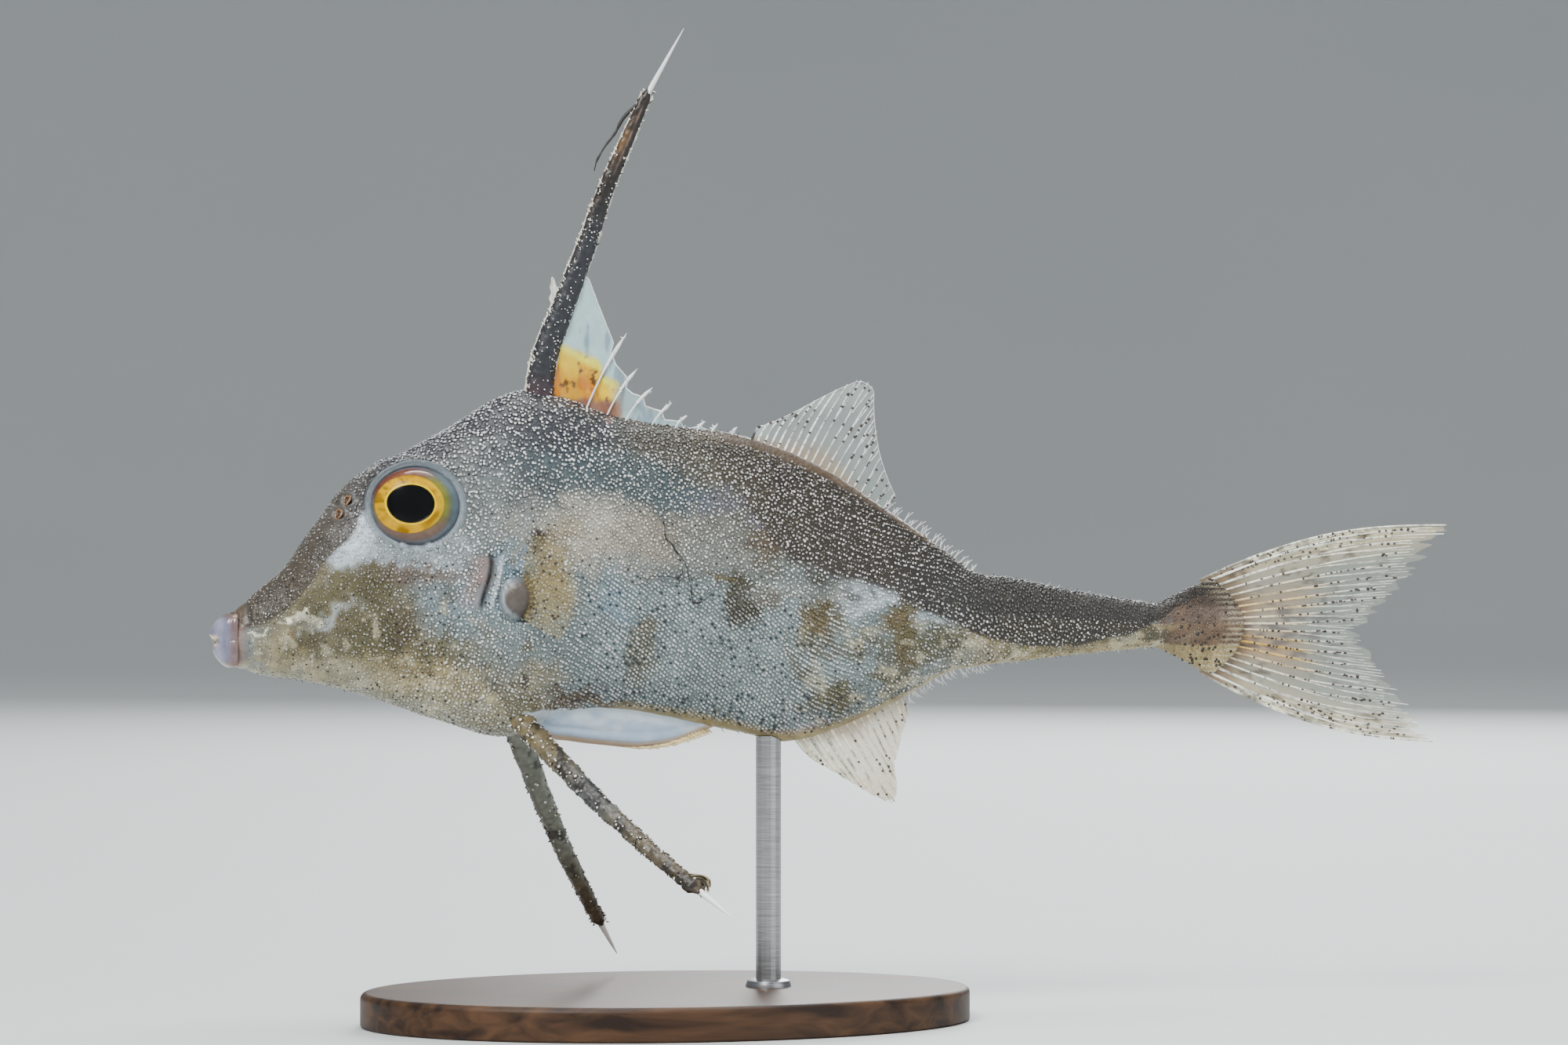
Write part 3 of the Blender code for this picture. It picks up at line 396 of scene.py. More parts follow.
# x, z, half length, half height, tilt in degrees, colour, strength, softness
patches = (
    (62, -14, 27, 11, 0, "steel", 0.95, 0.4), (59, 4, 17, 10, -14, "loam", 0.9, 0.4),
    (57, -2.5, 7, 3.5, -8, "fog", 0.5, 0.6), (39, 12, 9.5, 5.5, -8, "navy", 0.95, 0.35),
    (45.5, 4.6, 12, 3.2, -5, "teal", 0.85, 0.45), (43.5, -1.2, 9, 3.6, -4, "milk", 0.9, 0.5),
    (33, 5.5, 6, 3.2, -20, "navy", 0.6, 0.5), (75, 0, 12, 6.5, -36, "bark", 0.97, 0.25),
    (17, -11.5, 13, 6.5, -16, "cheek", 0.9, 0.35), (28, -16.5, 9, 5, -14, "cheek", 0.75, 0.5),
    (31.5, 1.0, 4.5, 5, 0, "silver", 0.7, 0.6), (34.1, -5.0, 1.7, 2.2, 0, "sky", 0.9, 0.4),
    (28.5, -9.0, 5.5, 4.0, 0, "sky", 0.65, 0.6), (33, -14, 5, 4, 0, "steel", 0.7, 0.6),
    (16.7, -0.6, 2.4, 4.6, -22, "pearl", 0.85, 0.45), (14.6, -3.4, 3.2, 1.5, 28, "pearl", 0.45, 0.5),
    (20.5, -4.2, 5.0, 1.3, 4, "pearl", 0.4, 0.5), (27.5, -3.0, 3.6, 1.8, 14, "pearl", 0.25, 0.5),
    (22.5, -5.7, 6.5, 0.9, 0, "dun", 0.7, 0.5), (17.6, -7.2, 3.6, 2.0, 0, "olive", 0.85, 0.45),
    (12.2, -8.2, 2.6, 1.5, 35, "olive", 0.6, 0.5), (18.4, -13.6, 4.0, 3.6, 0, "olive", 0.95, 0.4),
    (21.5, -12.6, 1.6, 3.2, 0, "rust", 0.5, 0.5), (13.0, -14.6, 3.0, 1.9, -6, "olive", 0.6, 0.5),
    (8.6, -14.6, 3.0, 1.2, -10, "cream", 0.6, 0.5), (12.8, -10.6, 3.4, 0.7, 24, "pearl", 0.45, 0.6),
    (24.5, -18.0, 8.0, 2.0, -16, "cream", 0.6, 0.5), (28.0, -15.0, 3.5, 1.4, 0, "olive", 0.5, 0.6),
    (10.5, -10.2, 1.25, 0.75, 25, "white", 0.97, 0.25), (8.8, -11.4, 0.8, 0.5, 15, "white", 0.9, 0.3),
    (5.6, -12.9, 1.0, 0.35, 30, "white", 0.7, 0.4), (9.8, -16.6, 5.0, 0.9, -10, "cream", 0.7, 0.5),
    (39.2, -3.7, 1.9, 4.6, -6, "mustard", 0.6, 0.6), (37.2, -1.5, 1.9, 1.0, 0, "umber", 0.97, 0.35),
    (36.2, -2.4, 0.7, 1.4, 0, "umber", 0.7, 0.5), (38.6, -8.0, 2.0, 3.0, 0, "cream", 0.5, 0.5),
    (49.5, -1.6, 3.4, 2.2, 0, "dun", 0.35, 0.6), (46.6, -8.6, 2.6, 2.4, 0, "sky", 0.65, 0.6),
    (49.8, -15.3, 1.7, 3.6, 0, "olive", 0.75, 0.45), (49.6, -11.6, 1.3, 1.0, 0, "ochre", 0.6, 0.5),
    (61.2, -9.2, 2.2, 3.0, 0, "moss", 0.97, 0.35), (64.6, -9.1, 1.8, 1.1, 0, "rust", 0.85, 0.45),
    (58.6, -6.9, 1.9, 0.8, -15, "ochre", 0.85, 0.45), (64.2, -2.6, 2.1, 2.4, 0, "rust", 0.8, 0.5),
    (63.9, 0.8, 2.0, 1.6, 0, "violet", 0.6, 0.5), (58.5, 2.5, 3.0, 1.6, 0, "violet", 0.45, 0.6),
    (54.0, 2.8, 3.0, 1.6, 0, "teal", 0.7, 0.5), (65.8, 5.5, 4.0, 1.2, -20, "violet", 0.4, 0.5),
    (71.0, -11.9, 2.7, 2.3, 15, "ochre", 0.95, 0.45), (69.5, -14.0, 1.2, 1.2, 0, "olive", 0.7, 0.5),
    (69.4, -17.6, 1.6, 1.3, 0, "olive", 0.75, 0.5), (73.4, -20.6, 3.2, 2.2, 10, "olive", 0.95, 0.45),
    (76.8, -14.6, 1.2, 1.6, 0, "olive", 0.7, 0.5), (81.3, -13.2, 2.2, 4.0, 12, "ochre", 0.95, 0.45),
    (79.5, -17.5, 2.4, 1.4, 20, "olive", 0.8, 0.5), (85.5, -14.4, 2.6, 1.3, 10, "olive", 0.8, 0.45),
    (66.0, -8.3, 4.5, 1.2, 0, "fog", 0.6, 0.5), (76.6, -9.0, 4.0, 1.3, 6, "pearl", 0.75, 0.6),
    (73.0, -9.0, 3.0, 1.2, 0, "ochre", 0.4, 0.6), (86.5, -11.0, 3.2, 0.8, 8, "pearl", 0.6, 0.5),
    (93.0, -12.6, 4.0, 0.9, 10, "mustard", 0.6, 0.5), (99.5, -13.4, 3.0, 0.8, 6, "olive", 0.6, 0.5),
    (105.0, -12.9, 3.5, 0.8, 6, "olive", 0.7, 0.5), (112.0, -13.1, 5.5, 0.9, 0, "moss", 0.85, 0.4),
    (37.7, -18.0, 3.0, 1.6, 0, "cream", 0.4, 0.6), (40.5, -20.9, 9.0, 1.0, -2, "strip", 0.8, 0.4),
    (34.0, -21.6, 4.0, 2.0, -12, "olive", 0.85, 0.45), (32.9, -19.1, 1.1, 0.4, -14, "ink", 0.97, 0.25),
    (31.3, -17.2, 0.6, 0.6, 0, "umber", 0.9, 0.4), (35.2, -18.4, 0.8, 0.45, 0, "umber", 0.9, 0.4),
    (35.9, -14.0, 0.8, 0.8, 0, "olive", 0.8, 0.5), (30.5, -20.6, 3.0, 0.8, -18, "cream", 0.6, 0.5),
    (44.0, 13.6, 6.0, 0.9, -16, "blush", 0.75, 0.5), (54.0, -22.6, 8.0, 0.8, -6, "cream", 0.6, 0.5),
    (67.5, -24.3, 6.0, 0.8, -4, "blush", 0.5, 0.6), (115.3, -10.2, 2.2, 1.2, 22, "rust", 0.5, 0.6),
    (121.8, -14.0, 1.5, 1.1, -15, "umber", 0.97, 0.3), (117.5, -12.9, 2.6, 0.8, -10, "moss", 0.7, 0.5),
    (119.8, -17.0, 3.0, 1.2, -30, "bone", 0.3, 0.5), (118.5, -13.8, 2.4, 1.6, 10, "bark", 0.7, 0.6),
    (118.5, -8.6, 2.6, 0.9, 28, "loam", 0.6, 0.5), (24.0, -19.6, 3.0, 0.9, -16, "olive", 0.6, 0.6),
    (15.5, -17.6, 3.2, 0.8, -12, "olive", 0.5, 0.6), (9.4, -13.4, 2.2, 0.9, 0, "ochre", 0.5, 0.6),
)
# how high up a section, from 0 to 1, the dark of the back begins, and its colour along the body
darkFrom = ((3.0, 0.6), (9.0, 0.62), (14.0, 0.72), (19.0, 0.88), (27.0, 0.93), (34.0, 0.92),
            (44.0, 0.97), (56.0, 0.94), (61.0, 0.8), (66.0, 0.64), (72.0, 0.58), (80.0, 0.56),
            (112.0, 0.55), (114.0, 0.75), (117.0, 1.1), (124.0, 1.6))
darkHues = ((3, "snout"), (14, "snout"), (22, "navy"), (38, "navy"), (50, "loam"), (66, "bark"),
            (86, "peat"), (113, "peat"), (124, "bark"))


def heightShare(points):
    x = np.minimum(points[:, 0], body["stalkEnd"])
    top, bottom = curveThrough(body["back"], x), curveThrough(body["belly"], x)
    return (points[:, 2] - bottom) / (top - bottom)


def skinTone(points):
    # colour of the skin, with how silvery it is as a fourth number
    points = np.asarray(points, float).reshape(-1, 3)
    warped = points.copy()
    for axis, seed in ((0, 3), (2, 9)):
        warped[:, axis] += (4.2 * (clouds(points, 2.4, seed) - 0.5)
                            + 1.4 * (softNoise(points, 0.6, seed + 5) - 0.5))
    x, z = warped[:, 0], warped[:, 2]
    plainX = points[:, 0]
    share = heightShare(points)
    h = share + 0.14 * (clouds(points, 3.0, 21) - 0.5)
    tone = layered(even(hues["silver"], points),
                   ("cream", ease(84, 90, x) * ease(0.56, 0.5, h) * 0.85))
    for px, pz, longHalf, tallHalf, tilt, name, strength, soft in patches:
        c, s = math.cos(math.radians(tilt)), math.sin(math.radians(tilt))
        far = np.hypot(((x - px) * c + (z - pz) * s) / longHalf, ((z - pz) * c - (x - px) * s) / tallHalf)
        tone = layered(tone, (name, ease(1 + soft, 1 - soft, far) * strength))
    # growth on the cheeks, the breast and the rear flank, and a paler belly under the head, partly its
    # own colour and partly painted light against the underside's shade
    grown = ease(0.54, 0.66, clouds(points, 2.2, 35)) * ease(0.55, 0.4, h)
    bleached = ease(0.56, 0.68, clouds(points, 1.5, 37)) * ease(0.5, 0.35, h)
    tone = layered(
        tone,
        ("olive", grown * 0.6 * (ease(36, 26, x) * ease(5, 8, x)
                                 + ease(64, 70, x) * ease(112, 100, x))),
        ("bone", bleached * (ease(34, 24, x) + ease(66, 72, x)) * 0.5),
        # partly painted light: the underside of the head lightened against its shade, over its own paler
        # colour
        ("bone", ease(0.2, 0.06, h) * ease(42, 34, x) * 0.4),
        ("dun", ease(112.5, 115.5, x) * ease(-17.5, -15, z) * 0.8),
        ("umber", ease(112, 114, plainX) * ease(0.9, 1.05, share) * 0.5))
    # the dark back, the pale midlines below and behind
    line = curveThrough(darkFrom, plainX)
    darkX = [x0 for x0, name in darkHues]
    dark = np.stack([np.interp(plainX, darkX, [hues[name][k] for x0, name in darkHues])
                     for k in range(3)], -1)
    # the rays' feet run on over the tail's base
    v = (points[:, 2] - tailRootShape["z"]) / tailRootShape["half"]
    left = tailRootShape["x"] - tailRootShape["round"] * v * v - plainX
    ray = ease(0.35, 0.75, 0.5 + 0.5 * np.cos(math.tau * (tail["rays"] * (1 - v) - 0.5)))
    tone = layered(
        tone,
        (dark, ease(line - 0.03, line + 0.035, h) * 0.95),
        ("cream", ease(0.045, 0.02, share) * ease(44, 50, plainX) * 0.8),
        ("strip", ease(0.95, 0.975, share) * ease(54, 60, plainX) * ease(90, 84, plainX) * 0.85),
        ("bone", ray * ease(3.4, 0.5, left) * (plainX > 112) * 0.5))
    tone *= ((0.66 + 0.68 * clouds(points, 0.8, 33)) * (0.7 + 0.6 * clouds(points, 2.6, 34))
             * (1 - 0.3 * ease(0.8, 0.98, share) * ease(18, 26, plainX)))[:, None]
    # gill, pectoral lobe, rim of the eye, keel and mouth, with painted shade in the gill's slit, round
    # the eye's rim and in the mouth, a painted highlight and shadow on the lobe, and painted light on the
    # lid's slope
    slit, ridge, there = gillAway(points)
    swirl = clouds(points * (1, 0.3, 1), 0.8, 57)
    onLobe = lobeShare(points)
    behind = points[:, 0] - lobe["x"]
    oval = nearestOval(points)
    band = points[:, 2] < curveThrough(keelBand, plainX) + 0.5 * (clouds(points, 1.2, 58) - 0.5)
    mouth = ease(4.4, 2.9, plainX)
    tone = layered(
        tone,
        ("blush", there * np.exp(-((slit + 1.1) / 1.3) ** 2) * (0.1 + 0.8 * swirl)),
        ("pearl", there * np.exp(-(ridge / 0.3) ** 2) * 0.8),
        # painted shade: dark colour down the gill's slit, where the opening lies in shadow
        ("slit", there * np.exp(-((slit - 0.05) / 0.24) ** 2) * 0.95),
        (hues["ash"] * (0.5 + swirl)[:, None], ease(1.12, 0.98, onLobe)),
        # painted highlight on the lobe's front rim and painted shadow round its rear edge
        ("pearl", np.exp(-((onLobe - 0.92) / 0.09) ** 2) * ease(0.8, -0.6, behind) * 0.7),
        ("slit", np.exp(-((onLobe - 1.2) / 0.1) ** 2) * ease(-0.6, 0.8, behind) * 0.7),
        ("lid", ease(1.15, 1.06, oval) * 0.85),
        # painted light on the lid's steep slope down to the ball, lifting its shade
        ("pearl", np.exp(-((oval - 1.01) / 0.035) ** 2) * 0.7),
        # painted shadow: a thin dark line just outside the eye's rim
        ("rimShadow", np.exp(-((oval - 1.13) / 0.02) ** 2) * 0.5),
        ("keel", band * ease(35.2, 36.6, plainX) * ease(58.4, 57.6, plainX)),
        ("strip", mouth * ease(-12.0, -11.2, points[:, 2]) * 0.8),
        ("blush", mouth * ease(-11.2, -12.6, points[:, 2]) * 0.7),
        # painted shade in the crease behind the lips and inside the mouth
        ("slit", np.exp(-((plainX - 3.25) / 0.14) ** 2) * 0.35),
        ("slit", ease(2.9, 2.3, plainX)))
    bright = tone.mean(1)
    return withAlpha(tone, ease(0.1, 0.4, bright) * ease(0, 0.4, h) * ease(1.05, 0.7, h))


# skin

skinSet = {"sides": 240, "headStep": 0.2, "bodyStep": 0.42, "rootSteps": 28, "mouthMiddle": -13.5,
           "fold": ((5.2, 0.2), (4.2, 0.4), (3.2, 0.5), (2.5, 0.58), (2.25, 0.7), (2.3, 0.84),
                    (2.55, 0.95)), "foldLong": 3.2, "rootLong": 10.6, "end": 124.0}
orbit = {"swell": (6.9, 2.3, 6.0), "sunk": 1.9, "ring": 1.07, "thick": 0.32, "crest": 0.0}


def sculptOrbit(points, side):
    # the brow's swell, the rim round the eye, the lid on the ball and the socket behind it
    place, fore, out, up = eyeFrame(side)
    u, o, w, oval = eyeLocal(points, side)
    inner = np.hypot(u / orbit["swell"][0], w / orbit["swell"][2])
    swell = -orbit["sunk"] + orbit["swell"][1] * np.sqrt(np.maximum(1 - inner**2, 0))
    raised = np.where(inner < 1, np.log(np.exp((o - swell) / 0.22) + 1) * 0.22 + swell, o)
    away = (oval - orbit["ring"]) * (eye["long"] + eye["tall"]) / 2
    rim = orbit["crest"] - orbit["thick"] + np.sqrt(np.maximum(orbit["thick"] ** 2 - away**2, 0))
    raised = np.where(np.abs(away) < orbit["thick"], np.maximum(raised, rim), raised)
    edge = ballHeight(np.array(eye["lid"])) + eye["cover"]
    lid = edge + (oval - eye["lid"]) / (orbit["ring"] - eye["lid"]) * (orbit["crest"] - edge)
    inside = ease(orbit["ring"] + 0.01, orbit["ring"] - 0.03, oval)
    raised = raised * (1 - inside) + np.minimum(lid, orbit["crest"]) * inside
    sink = ease(eye["lid"], eye["lid"] - 0.05, oval)
    raised = raised * (1 - sink) + (ballHeight(oval) - 0.5) * sink
    o = np.where((o > -4.5) & (inner < 1.3), raised, o)
    return np.stack((u, o, w), 1) @ np.stack((fore, out, up), 1).T + place


def makeSkin():
    turn = circle(skinSet["sides"])
    lengths = np.concatenate((np.arange(body["start"], body["headEnd"], skinSet["headStep"]),
                              np.arange(body["headEnd"], body["stalkEnd"], skinSet["bodyStep"]),
                              [body["stalkEnd"]]))
    trunk = bodyPoints(lengths[:, None], turn[None])
    shares = np.linspace(0, 1, skinSet["rootSteps"])[1:, None] * np.ones_like(turn)
    rear = tailBasePoints(shares, turn[None] * np.ones_like(shares))
    lip = rear[-1] * (1, 0.5, 1) + (0.3, 0, 0)
    middle = np.array((0, 0, skinSet["mouthMiddle"]))
    fold = [(trunk[0] - middle) * (0, size, size) + middle + (x, 0, 0) for x, size in skinSet["fold"]]
    grid = np.concatenate((fold, trunk, rear, [lip]))
    along = np.concatenate(([x - skinSet["foldLong"] for x, size in skinSet["fold"]], lengths,
                            body["stalkEnd"] + shares[:, 0] * skinSet["rootLong"], [skinSet["end"]]))
    along = np.maximum.accumulate(along + np.arange(len(along)) * 1e-6)
    shape = grid.shape
    points = grid.reshape(-1, 3)
    for side in (-1, 1):
        points = sculptOrbit(points, side)
    grid = points.reshape(shape)
    out = unit(np.cross(np.gradient(grid, axis=0),
                        np.roll(grid, -1, 1) - np.roll(grid, 1, 1)).reshape(-1, 3))
    if np.sum(out[:, 2] * np.sin(np.tile(turn, shape[0]))) < 0:
        out = -out
    x, z = points[:, 0], points[:, 2]
    slit, ridge, there = gillAway(points)
    rise = there * (gill["flap"] * ease(-2.4, -0.3, slit) * (slit < 0)
                    - gill["deep"] * np.exp(-(slit / gill["wide"]) ** 2)
                    + 0.35 * np.exp(-(ridge / 0.4) ** 2))
    onLobe = lobeShare(points)
    rise += (lobe["out"] * np.sqrt(np.maximum(1 - onLobe**4, 0))
             - 0.3 * np.exp(-((onLobe - 1.22) / 0.12) ** 2))
    rise += 0.25 * (clouds(points, 0.9, 56) - 0.5) * (onLobe < 0.95)
    for nx, nz in nostrils:
        hole = np.hypot(x - nx, z - nz)
        rise += 0.3 * np.exp(-((hole - 0.7) / 0.25) ** 2) - 0.55 * np.exp(-(hole / 0.4) ** 2)
    onBody = np.repeat(along >= 3, shape[1])
    rise += (0.16 * (clouds(points, 3.0, 51) - 0.5) + 0.09 * (softNoise(points, 0.6, 52) - 0.5)
             - 0.12 * np.exp(-((x - 4.3) / 0.3) ** 2)) * onBody * ease(1.0, 1.15, nearestOval(points))
    return (points + out * rise[:, None]).reshape(shape), out.reshape(shape), along


skinGrid, skinOut, skinAlong = makeSkin()
ringRun = np.cumsum(np.linalg.norm(np.roll(skinGrid, -1, 1) - skinGrid, axis=2), 1)
ringRun = np.concatenate((np.zeros((len(skinGrid), 1)), ringRun), 1)
print("skin shaped", skinGrid.shape)


def materialOf(name):
    material = bpy.data.materials.new(name)
    material.use_nodes = True
    return material, material.node_tree.nodes, material.node_tree.links


def setInputs(node, values):
    for name, value in values.items():
        node.inputs[name].default_value = value
    return node


def noiseNode(nodes, links, scale, detail=3.0, kind="ShaderNodeTexNoise", stretch=(1, 1, 1)):
    where = nodes.new("ShaderNodeNewGeometry")
    mapping = setInputs(nodes.new("ShaderNodeMapping"), {"Scale": stretch})
    node = setInputs(nodes.new(kind), {"Scale": scale})
    if "Detail" in node.inputs:
        setInputs(node, {"Detail": detail})
    links.new(where.outputs["Position"], mapping.inputs["Vector"])
    links.new(mapping.outputs["Vector"], node.inputs["Vector"])
    return node


def ranged(nodes, links, source, low, high):
    node = setInputs(nodes.new("ShaderNodeMapRange"), {"To Min": low, "To Max": high})
    links.new(source, node.inputs["Value"])
    return node.outputs["Result"]


def bumped(nodes, links, height, strength, depth):
    bump = setInputs(nodes.new("ShaderNodeBump"), {"Strength": strength, "Distance": depth})
    links.new(height, bump.inputs["Height"])
    links.new(bump.outputs["Normal"], nodes["Principled BSDF"].inputs["Normal"])


def toneMaterial(name, roughness=(0.3, 0.5), grain=1500.0, vary=(0.82, 1.15), bump=(0.2, 0.00008),
                 metal=0.0, alpha=False, coat=0.0, glow=0.0, cells=0.0, specular=0.5):
    # paint from the tone attribute, varied and roughened by noise
    material, nodes, links = materialOf(name)
    shader = nodes["Principled BSDF"]
    tone = nodes.new("ShaderNodeAttribute")
    tone.attribute_name = "tone"
    grainNode = noiseNode(nodes, links, grain)
    mix = nodes.new("ShaderNodeMix")
    mix.data_type = "RGBA"
    mix.blend_type = "MULTIPLY"
    mix.inputs["Factor"].default_value = 1.0
    links.new(tone.outputs["Color"], mix.inputs["A"])
    links.new(ranged(nodes, links, grainNode.outputs["Fac"], *vary), mix.inputs["B"])
    links.new(mix.outputs["Result"], shader.inputs["Base Color"])
    rough = noiseNode(nodes, links, grain * 0.4)
    links.new(ranged(nodes, links, rough.outputs["Fac"], *roughness), shader.inputs["Roughness"])
    height = grainNode.outputs["Fac"]
    if cells:
        cellNode = noiseNode(nodes, links, cells, kind="ShaderNodeTexVoronoi")
        minus = nodes.new("ShaderNodeMath")
        minus.operation = "SUBTRACT"
        links.new(height, minus.inputs[0])
        links.new(cellNode.outputs["Distance"], minus.inputs[1])
        height = minus.outputs["Value"]
    bumped(nodes, links, height, *bump)
    if metal:
        links.new(ranged(nodes, links, tone.outputs["Alpha"], 0.0, metal), shader.inputs["Metallic"])
    if alpha:
        links.new(tone.outputs["Alpha"], shader.inputs["Alpha"])
    setInputs(shader, {"Coat Weight": coat, "Coat Roughness": 0.1, "Specular IOR Level": specular,
                       "Subsurface Weight": glow, "Subsurface Scale": 0.001})
    return material


paint = {
    "skin": toneMaterial("wet skin", (0.3, 0.48), 1400, (0.8, 1.18), (0.5, 0.00014), 0.2, coat=0.15,
                         cells=1900, specular=0.35),
    "scale": toneMaterial("scales", (0.2, 0.36), 2200, (0.85, 1.15), (0.15, 0.00004), 0.15, coat=0.2,
                          specular=0.45),
    "fin": toneMaterial("fin membrane", (0.16, 0.3), 900, (0.8, 1.1), (0.25, 0.00006), alpha=True),
    "ray": toneMaterial("fin rays", (0.25, 0.4), 2500, (0.85, 1.1), (0.2, 0.00004), alpha=True),
    "lip": toneMaterial("lips", (0.2, 0.34), 1600, (0.86, 1.1), (0.3, 0.00008), coat=0.3, glow=0.1),
    "spine": toneMaterial("spine sleeve", (0.34, 0.55), 1800, (0.65, 1.3), (0.6, 0.00015), coat=0.1,
                          specular=0.35),
    "bone": toneMaterial("bone", (0.25, 0.4), 3000, (0.9, 1.06), (0.15, 0.00003), coat=0.2, glow=0.1),
    "barb": toneMaterial("barbs", (0.3, 0.45), 3000, (0.85, 1.1), (0.1, 0.00003), alpha=True),
    "keel": toneMaterial("keel", (0.22, 0.36), 900, (0.92, 1.06), (0.25, 0.00008), coat=0.2, glow=0.1),
    "eye": toneMaterial("eye", (0.14, 0.26), 2600, (0.82, 1.15), (0.2, 0.00004), specular=0.05),
}


def unwrapRun(along):
    # from a place along the skin to its place along the unwrap
    return (along + 1) / 126


def insideEdge(corners):
    return corners * 0.98 + 0.01


def buildSkin():
    rows, sides = skinGrid.shape[:2]
    quads = gridQuads(rows, sides, True)
    points = skinGrid.reshape(-1, 3)
    flip = volumeSign(points - (60, 0, -8), quads) < 0
    share = unwrapRun(skinAlong)
    i = np.repeat(np.arange(rows - 1), sides)
    j = np.tile(np.arange(sides), rows - 1)
    corner = np.stack([np.stack((share[i + a], (j + b) / sides), -1)
                       for a, b in ((0, 0), (0, 1), (1, 1), (1, 0))], 1)
    # the rear edge is closed by joining each point to the one across from it, the mouth by a fan
    k = np.arange(-sides // 4, sides // 4)
    last = (rows - 1) * sides
    zipper = np.stack((last + k % sides, last + (sides // 2 - k) % sides,
                       last + (sides // 2 - k - 1) % sides, last + (k + 1) % sides), -1)
    j = np.arange(sides)
    fan = np.stack((j, np.full(sides, len(points)), (j + 1) % sides), -1)
    quads = np.concatenate((quads, zipper))
    corner = np.concatenate((corner, np.tile((0.999, 0.5), (len(zipper), 4, 1))))
    if flip:
        quads, corner, fan = quads[:, ::-1], corner[:, ::-1], fan[:, ::-1]
    points = np.concatenate((points, points[:sides].mean(0)[None]))
    heap = newHeap()
    addTo(heap, points, quads, fan, skinTone(points))
    corners = np.concatenate((corner.reshape(-1, 2), np.tile((0.001, 0.5), (len(fan) * 3, 1))))
    build("skin", heap, paint["skin"], ("head", "trunk", "tail_stalk", "tail_base"),
          "OFBake", insideEdge(corners))


buildSkin()
print("skin built")

# scales: solid plates over the skin, each with a pale knob, and small spinules between them

coat = {"rowGap": 0.46, "gap": 0.44, "size": 0.3, "sides": 6, "patch": 0.0015, "slant": 38,
        "rings": ((1.0, -0.2, 0), (0.5, 0.22, 0), (0.4, 0.36, 1)), "top": 0.48, "lean": 0.2,
        "inRow": (-60, 260), "rows": (-5, 235),
        "start": 4.4, "end": 123.9, "cuts": (0, 28, 38, 45, 52, 59, 67, 78, 200),
        "pieces": ("head", "shoulders", "breast", "side", "middle", "flank", "rear", "tail"),
        "spinules": 44000, "spinule": 0.1, "halves": (("front", 0, 44), ("rear", 44, 200))}


def addScales(heap, places, outs, aheads, sizes, plates, knobs, roots, long=1.0):
    # one plate each: rings of points from the rim up to a knob
    count, sides = len(places), coat["sides"]
    aside = np.cross(outs, aheads)[:, None]
    outs, stretched = outs[:, None], aheads[:, None] * np.broadcast_to(long, count)[:, None, None]
    turn = circle(sides)[:, None]
    rings = [(stretched * np.cos(turn) + aside * np.sin(turn)) * reach + outs * rise
             + stretched * coat["lean"] * max(rise, 0) for reach, rise, paler in coat["rings"]]
    top = outs * coat["top"] + stretched * coat["lean"] * coat["top"]
    points = places[:, None] + np.concatenate(rings + [top], 1) * sizes[:, None, None]
    each = points.shape[1]
    j = np.arange(sides)
    n = (j + 1) % sides
    crown = (len(coat["rings"]) - 1) * sides
    quads = np.concatenate([np.stack((r + j, r + n, r + sides + n, r + sides + j), -1)
                            for r in range(0, crown, sides)])
    tris = np.concatenate((np.stack((crown + j, crown + n, np.full(sides, each - 1)), -1),
                           np.stack((np.zeros(sides - 2, int), j[2:], j[1:-1]), -1)))
    base = np.arange(count)[:, None, None] * each
    paler = np.concatenate([np.full(sides, ring[2]) for ring in coat["rings"]] + [[1]])[None, :, None]
    tone = plates[:, None] * (1 - paler) + knobs[:, None] * paler
    disc = np.concatenate((np.cos(turn), np.sin(turn)), 1)
    flat = np.concatenate([disc * ring[0] for ring in coat["rings"]] + [np.zeros((1, 2))]) * coat["patch"]
    addTo(heap, points, (quads[None] + base).reshape(-1, 4), (tris[None] + base).reshape(-1, 3),
          tone.reshape(-1, 4), (roots[:, None] + flat[None]).reshape(-1, 2))


def addSpinules(heap, places, outs, aheads, wide, long, tones, roots):
    # small four-sided points
    aside = np.cross(outs, aheads)
    wide, long = wide[:, None], long[:, None]
    low = places - outs * wide * 0.5
    points = np.stack((low + aheads * long, low + aside * wide, low - aheads * long, low - aside * wide,
                       places + outs * wide * 1.1), 1)
    tris = np.array(((0, 1, 4), (1, 2, 4), (2, 3, 4), (3, 0, 4), (0, 2, 1), (0, 3, 2)))
    base = np.arange(len(places))[:, None, None] * 5
    flat = np.array(((1, 0), (0, 1), (-1, 0), (0, -1), (0, 0))) * coat["patch"]
    addTo(heap, points, (), (tris[None] + base).reshape(-1, 3), np.repeat(tones, 5, 0),
          (roots[:, None] + flat[None]).reshape(-1, 2))


def placeOnSkin(along, share):
    # point, outward and tailward directions, and place on the unwrap
    rows = np.interp(along, skinAlong, np.arange(len(skinAlong)))
    i = np.clip(np.floor(rows).astype(int), 0, len(skinGrid) - 2)
    far = 1000.0
    offsets = np.arange(len(ringRun))[:, None] * far
    sides = skinGrid.shape[1]
    turns = np.interp((share % 1) * ringRun[i, -1] + i * far, (ringRun + offsets).ravel(),
                      np.tile(np.arange(sides + 1.0), len(ringRun)))
    j = np.floor(turns).astype(int)
    fi, fj = (rows - i)[:, None], (turns - j)[:, None]
    point, out = ((grid[i, j % sides] * (1 - fj) + grid[i, (j + 1) % sides] * fj) * (1 - fi)
                  + (grid[i + 1, j % sides] * (1 - fj) + grid[i + 1, (j + 1) % sides] * fj) * fi
                  for grid in (skinGrid, skinOut))
    ahead = skinGrid[np.minimum(i + 2, len(skinGrid) - 1), j % sides] - skinGrid[i, j % sides]
    out = unit(out)
    roots = insideEdge(np.column_stack((unwrapRun(along), (turns % sides) / sides)))
    return point, out, flatOn(ahead, out), roots


